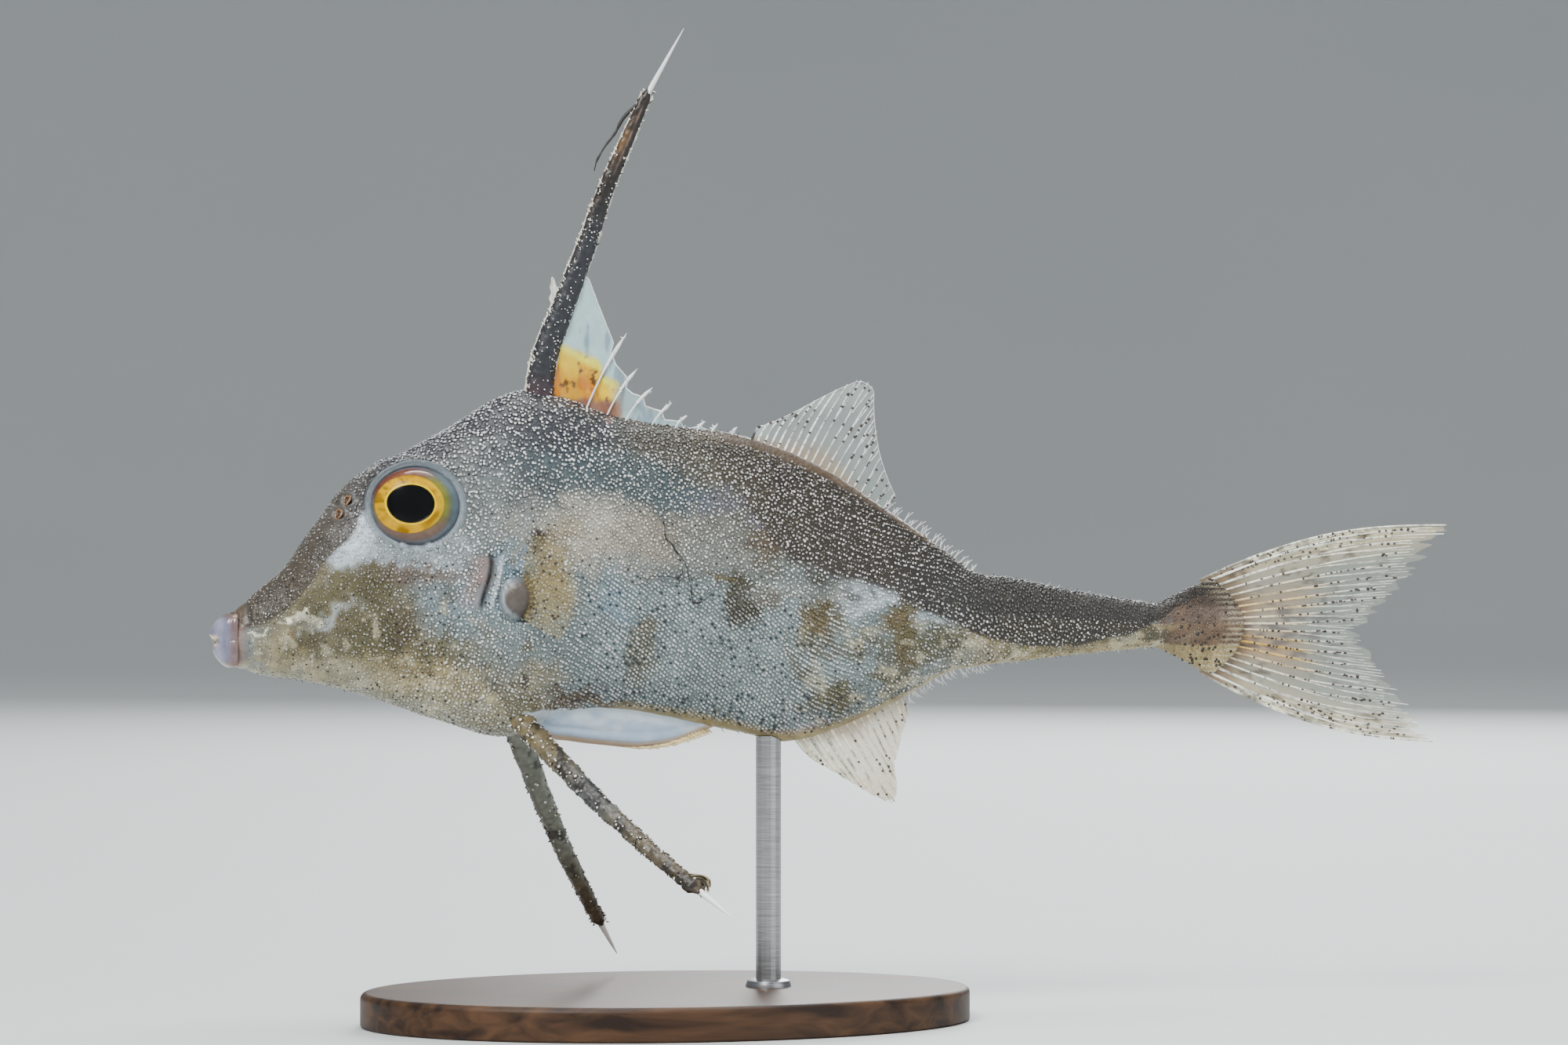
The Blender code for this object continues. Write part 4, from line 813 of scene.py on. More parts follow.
def isBare(points):
    # places that carry no scales
    x, z = points[:, 0], points[:, 2]
    slit, _, there = gillAway(points)
    bare = (nearestOval(points) < 1.13) | (lobeShare(points) < 1.15)
    bare |= (there > 0.3) & (slit > -0.9) & (slit < 0.45)
    for nx, nz in nostrils:
        bare |= np.hypot(x - nx, z - nz) < 1.0
    bare |= (z < curveThrough(keelBand, x)) & (x > 35.6) & (x < 58)
    share = heightShare(points)
    bare |= (share > 0.965) & (x > 60) & (x < 84)
    return bare | ((share < 0.02) & (x > 44) & (x < 95))


def flankOrder(points, share):
    # 1 where the scales stand in neat slanting rows, on the lower flank
    x = points[:, 0]
    return ease(38, 44, x) * ease(78, 72, x) * ease(0.52, 0.42, share)


def buildCoat():
    draw = np.random.default_rng(5)
    # rows that slant down towards the tail, counted on each side from the belly's midline
    i, j = np.meshgrid(np.arange(*coat["inRow"]), np.arange(*coat["rows"]))
    c, s = math.cos(math.radians(coat["slant"])), math.sin(math.radians(coat["slant"]))
    run, across = (i + 0.5 * (j % 2)).ravel() * coat["gap"], j.ravel() * coat["rowGap"]
    along, up = coat["start"] + run * c + across * s, 0.2 + across * c - run * s
    round0 = np.interp(along, skinAlong, ringRun[:, -1])
    inside = (along < coat["end"]) & (along > coat["start"]) & (up > 0) & (up < round0 / 2)
    along, up, round0 = (np.tile(v[inside], 2) for v in (along, up, round0))
    belly = np.interp(along, skinAlong, ringRun[:, skinSet["sides"] * 3 // 4] / ringRun[:, -1])
    share = belly + up / round0 * np.repeat((-1, 1), len(up) // 2)
    rough = placeOnSkin(along, share)[0]
    order = flankOrder(rough, heightShare(rough))
    h = heightShare(rough)
    shoulder = np.exp(-((rough[:, 0] - 39) / 10) ** 2) * ease(0.66, 0.85, h)
    rear = ease(66, 74, rough[:, 0]) * ease(0.5, 0.6, h) * ease(92, 86, rough[:, 0])
    jitter = 0.1 + 0.14 * (1 - order) - 0.07 * rear
    along = along + draw.normal(0, 1, len(along)) * jitter * coat["rowGap"]
    along = np.clip(along, coat["start"] - 0.2, coat["end"])
    share = share + draw.normal(0, 1, len(along)) * jitter * coat["gap"] / round0
    point, out, ahead, roots = placeOnSkin(along, share)
    x, z, h = point[:, 0], point[:, 2], heightShare(point)
    dice = draw.random((len(x), 5))
    aside = np.cross(out, ahead)
    loose = (1 - order) * (dice[:, 4] - 0.5) * 2.4
    slant = np.radians(coat["slant"]) * order * np.sign(point[:, 1]) + loose
    ahead = ahead * np.cos(slant)[:, None] + aside * np.sin(slant)[:, None]
    long = 1 + 0.35 * order + 0.3 * ease(34, 26, x)
    size = coat["size"] * (0.8 + 0.4 * dice[:, 0]) * (0.68 + 0.32 * ease(8, 32, x))
    size *= 1 - 0.3 * ease(96, 112, x)
    size *= 1 + 0.12 * shoulder * (dice[:, 2] > 0.4) + rear * (0.4 * (dice[:, 2] - 0.5) - 0.16)
    plate = skinTone(point)
    plate[:, :3] *= (0.66 + 0.4 * dice[:, 1])[:, None]
    milky = np.exp(-(((x - 43.5) / 8) ** 2 + ((z + 1.5) / 4) ** 2))
    tailBand = np.exp(-((z + 12.8) / 0.9) ** 2) * ease(121, 118, x)
    contrast = (1 - 0.2 * milky) * (0.75 + 0.25 * ease(15, 31, x)) * (1 - 0.22 * order)
    fewer = 2.2 * ease(29, 21, x)
    contrast *= 0.15 + 0.85 * dice[:, 2] ** (1.4 + fewer - 0.8 * order - 0.8 * shoulder - 0.6 * rear)
    contrast *= 1 - 0.92 * ease(82, 92, x) * ease(0.5, 0.6, h)
    contrast *= 0.45 + 0.95 * clouds(point, 2.4, 61)
    contrast *= 1 - 0.95 * ease(112, 115, x) * (1 - tailBand)
    contrast *= 1 - 0.5 * ease(0.86, 0.95, h) * ease(44, 50, x)
    warm = ease(1.3, 3.0, plate[:, 0] / plate[:, 2])[:, None]
    contrast *= 1 - (0.85 - 0.6 * ease(44, 32, x)) * warm[:, 0] * ease(0.75, 0.6, h)
    contrast *= 1 - 0.7 * np.exp(-((x - 61.2) / 1.8) ** 2 - ((z + 9.3) / 2.4) ** 2)
    pale = shade(236, 248, 255) * (1 - warm) + shade(246, 240, 220) * warm
    pale *= (0.82 + 0.18 * dice[:, 3])[:, None]
    knob = plate.copy()
    knob[:, :3] += (pale - plate[:, :3]) * np.clip(contrast, 0, 1)[:, None]
    knob[:, 3] = 0
    pepper = 0.012 + 0.07 * ease(34, 25, x) * ease(0.62, 0.45, h) * ease(5, 9, x)
    pepper += 0.07 * ease(84, 90, x) * ease(0.56, 0.48, h) + 0.05 * ease(112, 115, x)
    pepper += 0.05 * ease(0.16, 0.06, h) + 0.06 * order
    black = dice[:, 1] > 1 - pepper
    plate[black] = shade(52, 46, 42, 0)
    knob[black] = shade(34, 30, 28, 0)
    deep = black & (order > 0.5)
    plate[deep] = knob[deep] = shade(66, 78, 90, 0)
    size[black] *= (np.where(order > 0.5, 0.7, 0.62) + 0.6 * ease(112, 115, x))[black]
    filled = np.where(x < 16, 0.7, 0.97 - 0.22 * shoulder - 0.14 * rear)
    keep = ~isBare(point) & (draw.random(len(x)) < filled)
    for name, low, high in zip(coat["pieces"], coat["cuts"], coat["cuts"][1:]):
        pick = keep & (x >= low) & (x < high)
        heap = newHeap()
        addScales(heap, *(v[pick] for v in (point, out, ahead, size, plate, knob, roots, long)))
        build("coat_" + name, heap, paint["scale"], (), "OFBake")
        print("coat", name, int(pick.sum()), "scales")


def buildSpinules():
    draw = np.random.default_rng(6)
    count = coat["spinules"]
    weight = np.concatenate(([0], np.cumsum(np.maximum(np.diff(skinAlong), 0)
                                            * (ringRun[1:, -1] + ringRun[:-1, -1]) / 2)))
    weight = np.maximum(weight - np.interp(coat["start"], skinAlong, weight), 0)
    along = np.interp(draw.random(count) * weight[-1], weight, skinAlong)
    point, out, ahead, roots = placeOnSkin(along, draw.random(count))
    x, h = point[:, 0], heightShare(point)
    order = flankOrder(point, h)
    head = ease(40, 30, x)
    swirl = clouds(point, 5.0, 72) * 14 + draw.normal(0, 0.5, count)
    ahead = ahead * np.cos(swirl)[:, None] + np.cross(out, ahead) * np.sin(swirl)[:, None]
    wide = coat["spinule"] * draw.uniform(0.5, 1.05, count) * (1 - 0.35 * head)
    long = wide * (1 + head * draw.uniform(0.6, 3.2, count))
    tone = skinTone(point)
    pale = shade(226, 232, 236) + (shade(236, 226, 196) - shade(226, 232, 236)) * draw.random((count, 1))
    nape = np.exp(-((x - 37) / 11) ** 2) * ease(0.62, 0.8, h)
    amount = draw.uniform(0.05, 0.9, count) ** (1.6 + 2.6 * ease(32, 22, x) + 2 * nape)
    amount *= 1 - 0.85 * ease(112, 114, x)
    amount *= 1 - 0.7 * ease(84, 92, x) * ease(0.5, 0.6, h)
    tone[:, :3] += (pale - tone[:, :3]) * amount[:, None]
    dark = draw.random(count) < 0.12
    tone[dark] = skinTone(point[dark]) * 0.35
    tone[:, 3] = 0
    keep = ~isBare(point) & (draw.random(count) < 1 - 0.6 * order)
    for name, low, high in coat["halves"]:
        pick = keep & (x >= low) & (x < high)
        heap = newHeap()
        addSpinules(heap, *(v[pick] for v in (point, out, ahead, wide, long, tone, roots)))
        build("coat_spinules_" + name, heap, paint["scale"], (), "OFBake")
        print("spinules", name, int(pick.sum()))


buildCoat()
buildSpinules()
print("coat built")

# lips: one blunt round end, parted by the mouth's slit

lips = {
    "upper": {"height": -12.3, "up": 1.85, "down": 1.15, "front": 0.0},
    "lower": {"height": -14.95, "up": 1.2, "down": 1.7, "front": 0.3},
    "spread": 1.7, "thick": 1.15, "back": 3.1, "meet": -13.6, "steps": 81, "sides": 36, "round": 0.8,
}


def makeLip(name):
    lip = lips[name]
    share = np.linspace(-1, 1, lips["steps"])[:, None]
    around = circle(lips["sides"])[None]
    turn = math.pi / 2 * share
    c = np.sign(np.cos(around)) * np.abs(np.cos(around)) ** lips["round"]
    s = np.sign(np.sin(around)) * np.abs(np.sin(around)) ** lips["round"]
    reach = lips["back"] - lips["thick"] - lip["front"]
    crease = 1 + 0.025 * np.sin(share * 46) * c + 0.04 * np.sin(share * 9 + lip["height"])
    thick = lips["thick"] * crease * (1 - 0.1 * share**2)
    x = lips["back"] - np.cos(turn) * (reach + thick * c)
    y = np.sin(turn) * (lips["spread"] + thick * c)
    # away from the front the two lips close on each other
    shut = 0.9 * ease(0.12, 0.45, np.abs(share)) * np.maximum(s * (1 if name == "lower" else -1), 0)
    z = lip["height"] + np.where(s > 0, lip["up"], lip["down"]) * s * (1 - 0.06 * share**2) + 0 * x
    z = z + shut * (1 if name == "lower" else -1)
    # the mouth's end is round from top to bottom
    x = x + 1.5 * ((z - lips["meet"]) / 3.1) ** 2 * np.clip(1 - x / lips["back"], 0, 1)
    rings = joined(x, y, z)
    p = rings.reshape(-1, 3)
    slit = np.abs(p[:, 2] - lips["meet"])
    tone = layered(
        even(shade(152, 152, 168), p),
        (shade(132, 112, 104), ease(-11.4, -10.6, p[:, 2]) * 0.9),
        (shade(186, 170, 150), ease(-15.8, -16.5, p[:, 2]) * 0.7),
        (shade(176, 178, 190), np.exp(-((p[:, 0] - 1.0) / 0.5) ** 2) * 0.6),
        (shade(150, 120, 100), ease(1.9, 2.6, p[:, 0]) * 0.7),
        (shade(224, 208, 176), ease(0.75, 0.35, slit) * ease(1.0, 0.5, p[:, 0])),
        # painted shadow in the front of the mouth's slit
        (shade(92, 66, 50), ease(0.3, 0.1, slit) * ease(1.3, 0.7, p[:, 0]) * 0.85))
    tone *= (0.74 + 0.52 * clouds(p, 0.7, 71))[:, None]
    heap = newHeap()
    addRings(heap, rings, withAlpha(tone))
    build(name + "_lip_skin", heap, paint["lip"], (name + "_lip",))


makeLip("upper")
makeLip("lower")
print("lips built")

# eyes: an opaque ball with ringed colours, under a clear front

iris = {"middle": (-0.72, 0.05), "radii": (4.05, 3.38), "pupil": (2.68, 2.2), "pupilAt": (-0.5, 0.05),
        "point": 0.06, "angles": 160, "zones": ((0.06, 0.985, 9), (0.0, 0.985, 22), (0, 1, 18))}


def ballRings(side, u, w, lift):
    place, fore, out, up = eyeFrame(side)
    oval = np.hypot(u / eye["long"], w / eye["tall"])
    return place + fore * u[..., None] + up * w[..., None] + out * (ballHeight(oval) + lift)[..., None]


def makeEye(side):
    place, _, out, _ = eyeFrame(side)
    name = "left" if side < 0 else "right"
    turn = circle(iris["angles"])
    c, s = np.cos(turn), np.sin(turn)
    point = 1 + iris["point"] * np.maximum(-np.cos(turn + 0.4), 0) ** 5
    middle = np.array(iris["pupilAt"])[:, None] * np.ones_like(turn)
    edges = [middle,
             middle + np.stack((iris["pupil"][0] * c, iris["pupil"][1] * s)) * point,
             np.array(iris["middle"])[:, None] + np.stack((iris["radii"][0] * c, iris["radii"][1] * s)),
             np.stack((eye["long"] * 0.999 * c, eye["tall"] * 0.999 * s))]
    zones = [np.linspace(*zone) for zone in iris["zones"]]
    rings, tones = [], []
    for zone, shares in enumerate(zones):
        for f in shares:
            u, w = edges[zone] * (1 - f) + edges[zone + 1] * f
            sunk = (0.3, 0.12 * (1 - ease(0.8, 1, f)), 0.0)[zone]
            rings.append(ballRings(side, u, w, -sunk))
            f = np.full(len(c), f)
            grain = clouds(joined(c * 4, s * 4, f * 0.7), 0.5, 81)
            blots = clouds(joined(u, w, 0 * u), 1.5, 84)
            if zone == 0:
                tone = even(shade(5, 8, 14), c)
            elif zone == 1:
                tone = layered(
                    even(shade(203, 178, -20), c),
                    (shade(166, 134, -20), ease(0.45, 0.62, blots) * 0.85),
                    (shade(120, 90, 0), ease(0.3, 0.8, -c + s * 0.5)
                     * ease(0.4, 0.72, grain) * 0.8),
                    (shade(222, 204, 0), ease(0.24, 0.1, f) * 0.95),
                    (shade(130, 92, 0), ease(0.06, 0.0, f) * 0.8),
                    (shade(196, 186, 60), ease(0.3, 0.9, c) * ease(0.5, 0.8, f) * 0.7),
                    (shade(140, 104, 20), ease(0.86, 1, f) * 0.8))
            else:
                tone = layered(
                    even(shade(134, 138, 134), c),
                    (shade(140, 90, 66), ease(0.0, 0.5, s) * ease(0.85, 0.1, c)
                     * ease(0.95, 0.5, f)),
                    (shade(150, 152, 66), ease(0.3, 0.8, c) * ease(0.55, 0.1, f) * 0.9),
                    (shade(120, 146, 150), ease(0.3, 0.8, c) * ease(0.35, 0.6, f) * 0.8),
                    (shade(156, 134, 124), ease(-0.2, -0.8, s) * ease(0.9, 0.4, f) * 0.8),
                    (shade(146, 150, 158), ease(0.5, 0.7, f) * 0.6),
                    (shade(112, 116, 124), ease(0.88, 0.96, f) * 0.6))
            tone = tone * (0.72 + 0.56 * grain)[:, None] if zone else tone
            tones.append(withAlpha(tone))
    heap = newHeap()
    back = place + out * (eye["standsOut"] - eye["deep"] * 1.35)
    addRings(heap, np.stack(rings), np.concatenate(tones), (rings[0].mean(0), back))
    build("eye_ball_" + name, heap, paint["eye"], ("eye_" + name,))
    shares = np.linspace(0.02, 0.93, 24)[:, None]
    front, inner = (ballRings(side, shares * eye["long"] * c, shares * eye["tall"] * s, lift)
                    for lift in (0.2, 0.12))
    heap = newHeap()
    addRings(heap, np.concatenate((front, inner[::-1])))
    build("eye_front_" + name, heap, paint["clear"])


def clearMaterial():
    material, nodes, links = materialOf("clear front of the eye")
    nodes.remove(nodes["Principled BSDF"])
    gloss = setInputs(nodes.new("ShaderNodeBsdfGlossy"), {"Roughness": 0.12})
    clear = nodes.new("ShaderNodeBsdfTransparent")
    mix = nodes.new("ShaderNodeMixShader")
    edge = setInputs(nodes.new("ShaderNodeFresnel"), {"IOR": 1.33})
    haze = noiseNode(nodes, links, 400)
    less = nodes.new("ShaderNodeMath")
    less.operation = "MULTIPLY"
    links.new(edge.outputs["Fac"], less.inputs[0])
    links.new(ranged(nodes, links, haze.outputs["Fac"], 0.03, 0.12), less.inputs[1])
    links.new(less.outputs["Value"], mix.inputs["Fac"])
    links.new(clear.outputs["BSDF"], mix.inputs[1])
    links.new(gloss.outputs["BSDF"], mix.inputs[2])
    links.new(mix.outputs["Shader"], nodes["Material Output"].inputs["Surface"])
    return material


paint["clear"] = clearMaterial()
for side in (-1, 1):
    makeEye(side)
print("eyes built")

# spines: the first dorsal spine and the two pelvic ones

pelvicSpine = {"wide": 2.95, "top": 1.7, "needle": 0.8, "flat": 0.8, "sleeve": 0.865,
               "barbs": 110, "barb": (0.12, 0.36), "rearFrom": 0.0, "dotFade": (0.8, 0.6)}
spines = {
    "dorsal": {
        "node": "first_dorsal_spine", "seed": 11,
        "line": ((38.3, 0, 12.5), (38.8, 0, 18.0), (41.5, 0, 25.7), (44.0, 0, 32.3), (46.2, 0, 38.6),
                 (48.7, 0, 44.4), (51.0, 0, 49.6), (53.4, 0, 54.0), (55.6, 0, 57.9)),
        "wide": 3.5, "top": 1.25, "needle": 0.62, "flat": 0.68, "sleeve": 0.83,
        "barbs": 240, "barb": (0.12, 0.38), "rearFrom": 0.42, "dots": 900, "dot": (0.07, 0.17),
        "dotFade": (0.72, 0.4), "lump": 0.22,
    },
    "near_pelvic": {
        **pelvicSpine, "node": "pelvic_spine_left", "seed": 12,
        "line": ((35.6, -2.3, -22.6), (55.9, -27.5, -44.3)),
        "dots": 300, "dot": (0.12, 0.3), "lump": 0.42,
    },
    "far_pelvic": {
        **pelvicSpine, "node": "pelvic_spine_right", "seed": 13,
        "line": ((35.6, 2.3, -22.6), (51.6, 22.0, -52.3)),
        "dots": 130, "dot": (0.1, 0.24), "lump": 0.32,
    },
    "bend": (-0.65, 0.0, -0.5),
    "thread": ((50.7, 49.4), (49.5, 48.4), (48.4, 47.2), (47.5, 45.6), (46.0, 43.6), (45.1, 41.9),
               (44.9, 41.0)),
    "leaf": ((40.3, 25.2), (40.0, 28.6)),
}


def spineLine(spine, share):
    share = np.asarray(share, float)
    if len(spine["line"]) > 2:
        return alongPath(spine["line"], share)
    root, tip = np.array(spine["line"])
    sag = np.array(spines["bend"]) * np.sin(math.pi * share)[..., None]
    return root + (tip - root) * share[..., None] + sag


def spineFrame(spine, share):
    here = spineLine(spine, share)
    ahead = unit(spineLine(spine, np.minimum(share + 0.02, 1))
                 - spineLine(spine, np.maximum(share - 0.02, 0)))
    across = unit(np.cross(ahead, (1, 0, 0)))
    narrower = (np.maximum(share, 0) / spine["sleeve"]) ** 0.9
    half = spine["wide"] + (spine["top"] - spine["wide"]) * narrower
    return here, ahead, across, unit(np.cross(across, ahead)), half[:, None] / 2


def sleeveTone(name, share, angle, points):
    # angle 0 is the spine's rear edge
    noise = clouds(points, 0.7, 93)
    blots = clouds(points, 1.7, 96)
    front = ease(-0.3, -0.9, np.cos(angle))
    if name == "dorsal":
        streak = np.exp(-((np.cos(angle) - 0.1) / 0.16) ** 2) * ease(0.45, 0.6, share)
        patch = np.exp(-((share - 0.69) / 0.04) ** 2) * ease(0.2, -0.5, np.cos(angle))
        tone = layered(
            even(shade(66, 70, 78), points),
            (shade(54, 46, 40), ease(0.42, 0.58, share)),
            (shade(110, 84, 92), ease(0.12, 0.02, share) * 0.8),
            (shade(150, 134, 124), streak * ease(0.4, 0.6, blots)),
            (shade(138, 112, 66), patch * ease(0.35, 0.5, blots) * 1.1),
            (shade(96, 70, 62), front * 0.4 * ease(0.3, 0.5, share)))
    elif name == "near_pelvic":
        tone = layered(
            even(shade(124, 116, 96), points),
            (shade(146, 136, 104), ease(0.36, 0.1, share) * 0.7),
            (shade(112, 116, 120), np.exp(-((share - 0.38) / 0.12) ** 2) * 0.8),
            (shade(100, 84, 62), ease(0.6, 0.8, share) * 0.8),
            (shade(44, 38, 34), ease(0.56, 0.64, blots) * 0.85))
    else:
        tone = layered(
            even(shade(154, 156, 148), points),
            (shade(106, 94, 72), front * 0.9),
            (shade(116, 100, 74), ease(0.45, 0.75, share) * 0.85),
            (shade(84, 66, 46), ease(0.8, 0.86, share) * 0.8),
            (shade(54, 46, 40), ease(0.6, 0.66, blots) * 0.7))
    return withAlpha(tone * (0.55 + 0.9 * noise)[:, None])


def makeSpine(name):
    spine = spines[name]
    draw = np.random.default_rng(spine["seed"])
    steps, sides = 230, 30
    share = np.linspace(-0.03, spine["sleeve"] + 0.012, steps)
    here, ahead, across, fore, half = spineFrame(spine, share)
    here = here + ahead * np.minimum(share, 0)[:, None] * 30
    turn = circle(sides)[:, None]
    full = ease(spine["sleeve"] + 0.014, spine["sleeve"] - 0.035, share)
    half = half * (0.35 + 0.65 * full[:, None])
    ring = fore[:, None] * np.cos(turn) + across[:, None] * np.sin(turn) * spine["flat"]
    points = here[:, None] + ring * half[:, None]
    ragged = 1 + 1.6 * ease(spine["sleeve"] - 0.12, spine["sleeve"], share)
    lump = spine["lump"] * (clouds(points, 0.8, spine["seed"]) - 0.5) * ragged[:, None]
    lump += 0.14 * (softNoise(points, 0.28, spine["seed"] + 1) - 0.5)
    points = points + ring * lump[..., None]
    heap = newHeap()
    addRings(heap, points, sleeveTone(name, np.repeat(share, sides), np.tile(turn[:, 0], steps),
                                      points.reshape(-1, 3)))
    build(name + "_spine_sleeve", heap, paint["spine"], (spine["node"],))
    # bare bone
    share = np.linspace(spine["sleeve"] - 0.04, 1, 40)
    left = np.clip((1 - share) / (1 - spine["sleeve"]), 0, 1)
    heap = newHeap()
    radius = spine["needle"] / 2 * (0.05 + 0.95 * left**0.75)
    addTube(heap, spineLine(spine, share), radius, 12, 0.9, (0, 1, 0.1), shade(244, 240, 236, 1))
    build(name + "_spine_bone", heap, paint["bone"])
    # barbs along both edges
    count = spine["barbs"]
    share = draw.uniform(0.01, spine["sleeve"], count)
    rear = np.where((draw.random(count) < 0.5) & (share > spine["rearFrom"]), 1, -1)[:, None]
    swing = draw.normal(0, 0.4, count)[:, None]
    here, ahead, across, fore, half = spineFrame(spine, share)
    foot = here + half * (fore * rear * np.cos(swing) + across * spine["flat"] * np.sin(swing))
    lean = unit(fore * rear * np.cos(swing) + across * np.sin(swing)
                + ahead * draw.uniform(0.2, 1.2, (count, 1)))
    heap = newHeap()
    for i in range(count):
        long = draw.uniform(*spine["barb"])
        path = foot[i] - lean[i] * 0.12 + np.outer((0, 0.4, 0.75, 1.0), lean[i] * (long + 0.12))
        light = draw.random() < (0.85 if name == "dorsal" else 0.2)
        tone = shade(222, 218, 210, 0.95) if light else shade(72, 56, 42, 1)
        radius = np.array((0.15, 0.11, 0.06, 0.012)) * draw.uniform(0.7, 1.2)
        addTube(heap, path, radius, 6, 0.9, across[i], tone)
    if name == "dorsal":
        # painted highlights: pale ridges along both rims of the dorsal sleeve stand in for the lit edges
        here, _, _, fore, half = spineFrame(spine, np.linspace(0, spine["sleeve"] - 0.01, 300))
        for rear in (-1, 1):
            edge = here + fore * rear * half
            lit = clouds(edge, 1.6, 7)
            tone = withAlpha(shade(226, 222, 216) * (0.25 + 0.9 * lit)[:, None], 0.95)
            radius = 0.03 + 0.16 * clouds(edge, 0.8, 8) * ease(0.3, 0.5, lit)
            addTube(heap, edge, radius, 6, 0.8, (0, 1, 0), tone)
    build(name + "_spine_barbs", heap, paint["barb"])
    # pale dots
    count = spine["dots"]
    share = draw.uniform(0.0, spine["sleeve"] * 0.97, count)
    angle = draw.uniform(0, math.tau, count)
    place = spineLine(spine, share)
    grouped = ease(0.3, 0.55, clouds(place + angle[:, None], 1.4, 98))
    pick = draw.random(count) < ease(*spine["dotFade"], share) * (0.35 + 0.65 * grouped)
    share, angle = share[pick], angle[pick]
    here, ahead, across, fore, half = spineFrame(spine, share)
    c, s = np.cos(angle)[:, None], np.sin(angle)[:, None]
    outward = unit(fore * c + across * s / spine["flat"])
    place = here + half * (fore * c + across * spine["flat"] * s)
    plates = sleeveTone(name, share, angle, place)
    lit = draw.uniform(0.35, 1, (len(share), 1))
    knobs = plates * (1 - lit) + shade(226, 232, 240, 1) * lit
    heap = newHeap()
    addScales(heap, place, outward, flatOn(ahead, outward),
              draw.uniform(*spine["dot"], len(share)) * 1.5, plates, knobs,
              np.column_stack((share * 0.94 + 0.03, angle / math.tau * 0.94 + 0.03)))
    build(name + "_spine_dots", heap, paint["scale"], (), "OFBake")


def makeSpineTrim():
    heap = newHeap()
    path = alongPath(spines["thread"], np.linspace(0, 1, 50))
    path = joined(path[:, 0], 0.25 * np.sin(np.linspace(0, 5, 50)), path[:, 1])
    width = 0.12 + 0.14 * softNoise(path, 0.7, 4) - 0.1 * np.linspace(0, 1, 50) ** 3
    addTube(heap, path, width, 8, 1.0, (0, 1, 0), shade(48, 38, 34, 1))
    build("dorsal_thread", heap, paint["spine"])
    heap = newHeap()
    (x0, z0), (x1, z1) = spines["leaf"]
    u, t = np.meshgrid(np.linspace(-1, 1, 11), np.linspace(0, 1, 20), indexing="ij")
    wide = 0.6 * (1 - t) ** 0.6 * (1 - 0.25 * np.sin(t * 17) * (u < 0)) + 0.03
    leaf = joined(x0 + (x1 - x0) * t + u * wide, 0.1 * np.sin(u * 3 + t * 2), z0 + (z1 - z0) * t)
    addPlate(heap, leaf, 0.05, shade(220, 220, 216, 0.85))
    # a frayed tab near the end of the near pelvic spine
    here, ahead, across, fore, _ = (a[0] for a in spineFrame(spines["near_pelvic"], np.array([0.8])))
    for i in range(11):
        t = np.linspace(0, 1, 14)
        spread = (i - 5) / 5
        run = np.outer(t, ahead * (2.3 + 0.5 * math.sin(i * 2.1)) + across * spread * 0.7)
        arch = fore * (1.5 + 0.5 * math.cos(i * 1.7)) * (0.6 + 0.4 * spread)
        path = here + fore * 0.5 + run + np.outer(np.sin(t * 2.6), arch)
        addTube(heap, path, 0.17 * (1 - 0.75 * t) + 0.02, 6, 1.0, (0, 1, 0.2), shade(100, 92, 58, 1))
    u, t = np.meshgrid(np.linspace(-1, 1, 13), np.linspace(0, 1, 16), indexing="ij")
    sheet = (here + fore * 0.4 + ahead * (t * 2.5)[..., None] + across * (u * 0.75)[..., None]
             + fore * (np.sin(t * 2.5) * (1.4 + 0.3 * np.sin(u * 4)))[..., None])
    addPlate(heap, sheet, 0.05, shade(176, 164, 112, 0.6))
    build("spine_flaps", heap, paint["barb"])


for spineName in ("dorsal", "near_pelvic", "far_pelvic"):
    makeSpine(spineName)
makeSpineTrim()
print("spines built")

# web behind the dorsal spine: a membrane from the back to a scalloped margin, held by small spines

web = {
    "base": ((38.3, 12.0), (39.6, 12.0), (40.8, 12.0), (42.0, 12.0), (43.6, 12.0), (44.6, 12.0),
             (45.6, 12.0), (46.4, 11.9), (47.2, 11.6), (47.8, 11.5), (48.6, 11.3), (49.8, 11.0),
             (51.4, 10.7), (52.8, 10.4), (54.2, 10.2), (55.6, 9.9), (57.0, 9.7), (58.6, 9.5),
             (60.6, 9.2)),
    "margin": ((43.2, 29.2), (44.3, 28.3), (45.3, 25.6), (46.3, 23.1), (47.2, 21.0), (46.9, 19.9),
               (47.5, 18.4), (48.9, 16.8), (48.7, 15.7), (49.5, 15.0), (50.7, 14.7), (51.0, 13.6),
               (52.9, 13.0), (53.3, 12.0), (55.1, 11.8), (55.7, 10.9), (57.4, 11.2), (58.8, 10.7),
               (60.6, 10.0)),
    "spines": ((43.8, 13.0, 48.8, 22.1), (46.4, 12.6, 50.1, 18.0), (48.6, 12.0, 51.9, 15.8),
               (51.6, 11.2, 54.2, 14.0), (54.4, 10.8, 56.0, 12.5), (57.1, 10.4, 58.1, 11.8),
               (58.9, 10.2, 59.6, 11.4), (61.3, 9.8, 62.0, 11.2)),
    "half": 0.07, "grid": (170, 44), "thorns": 7,
}


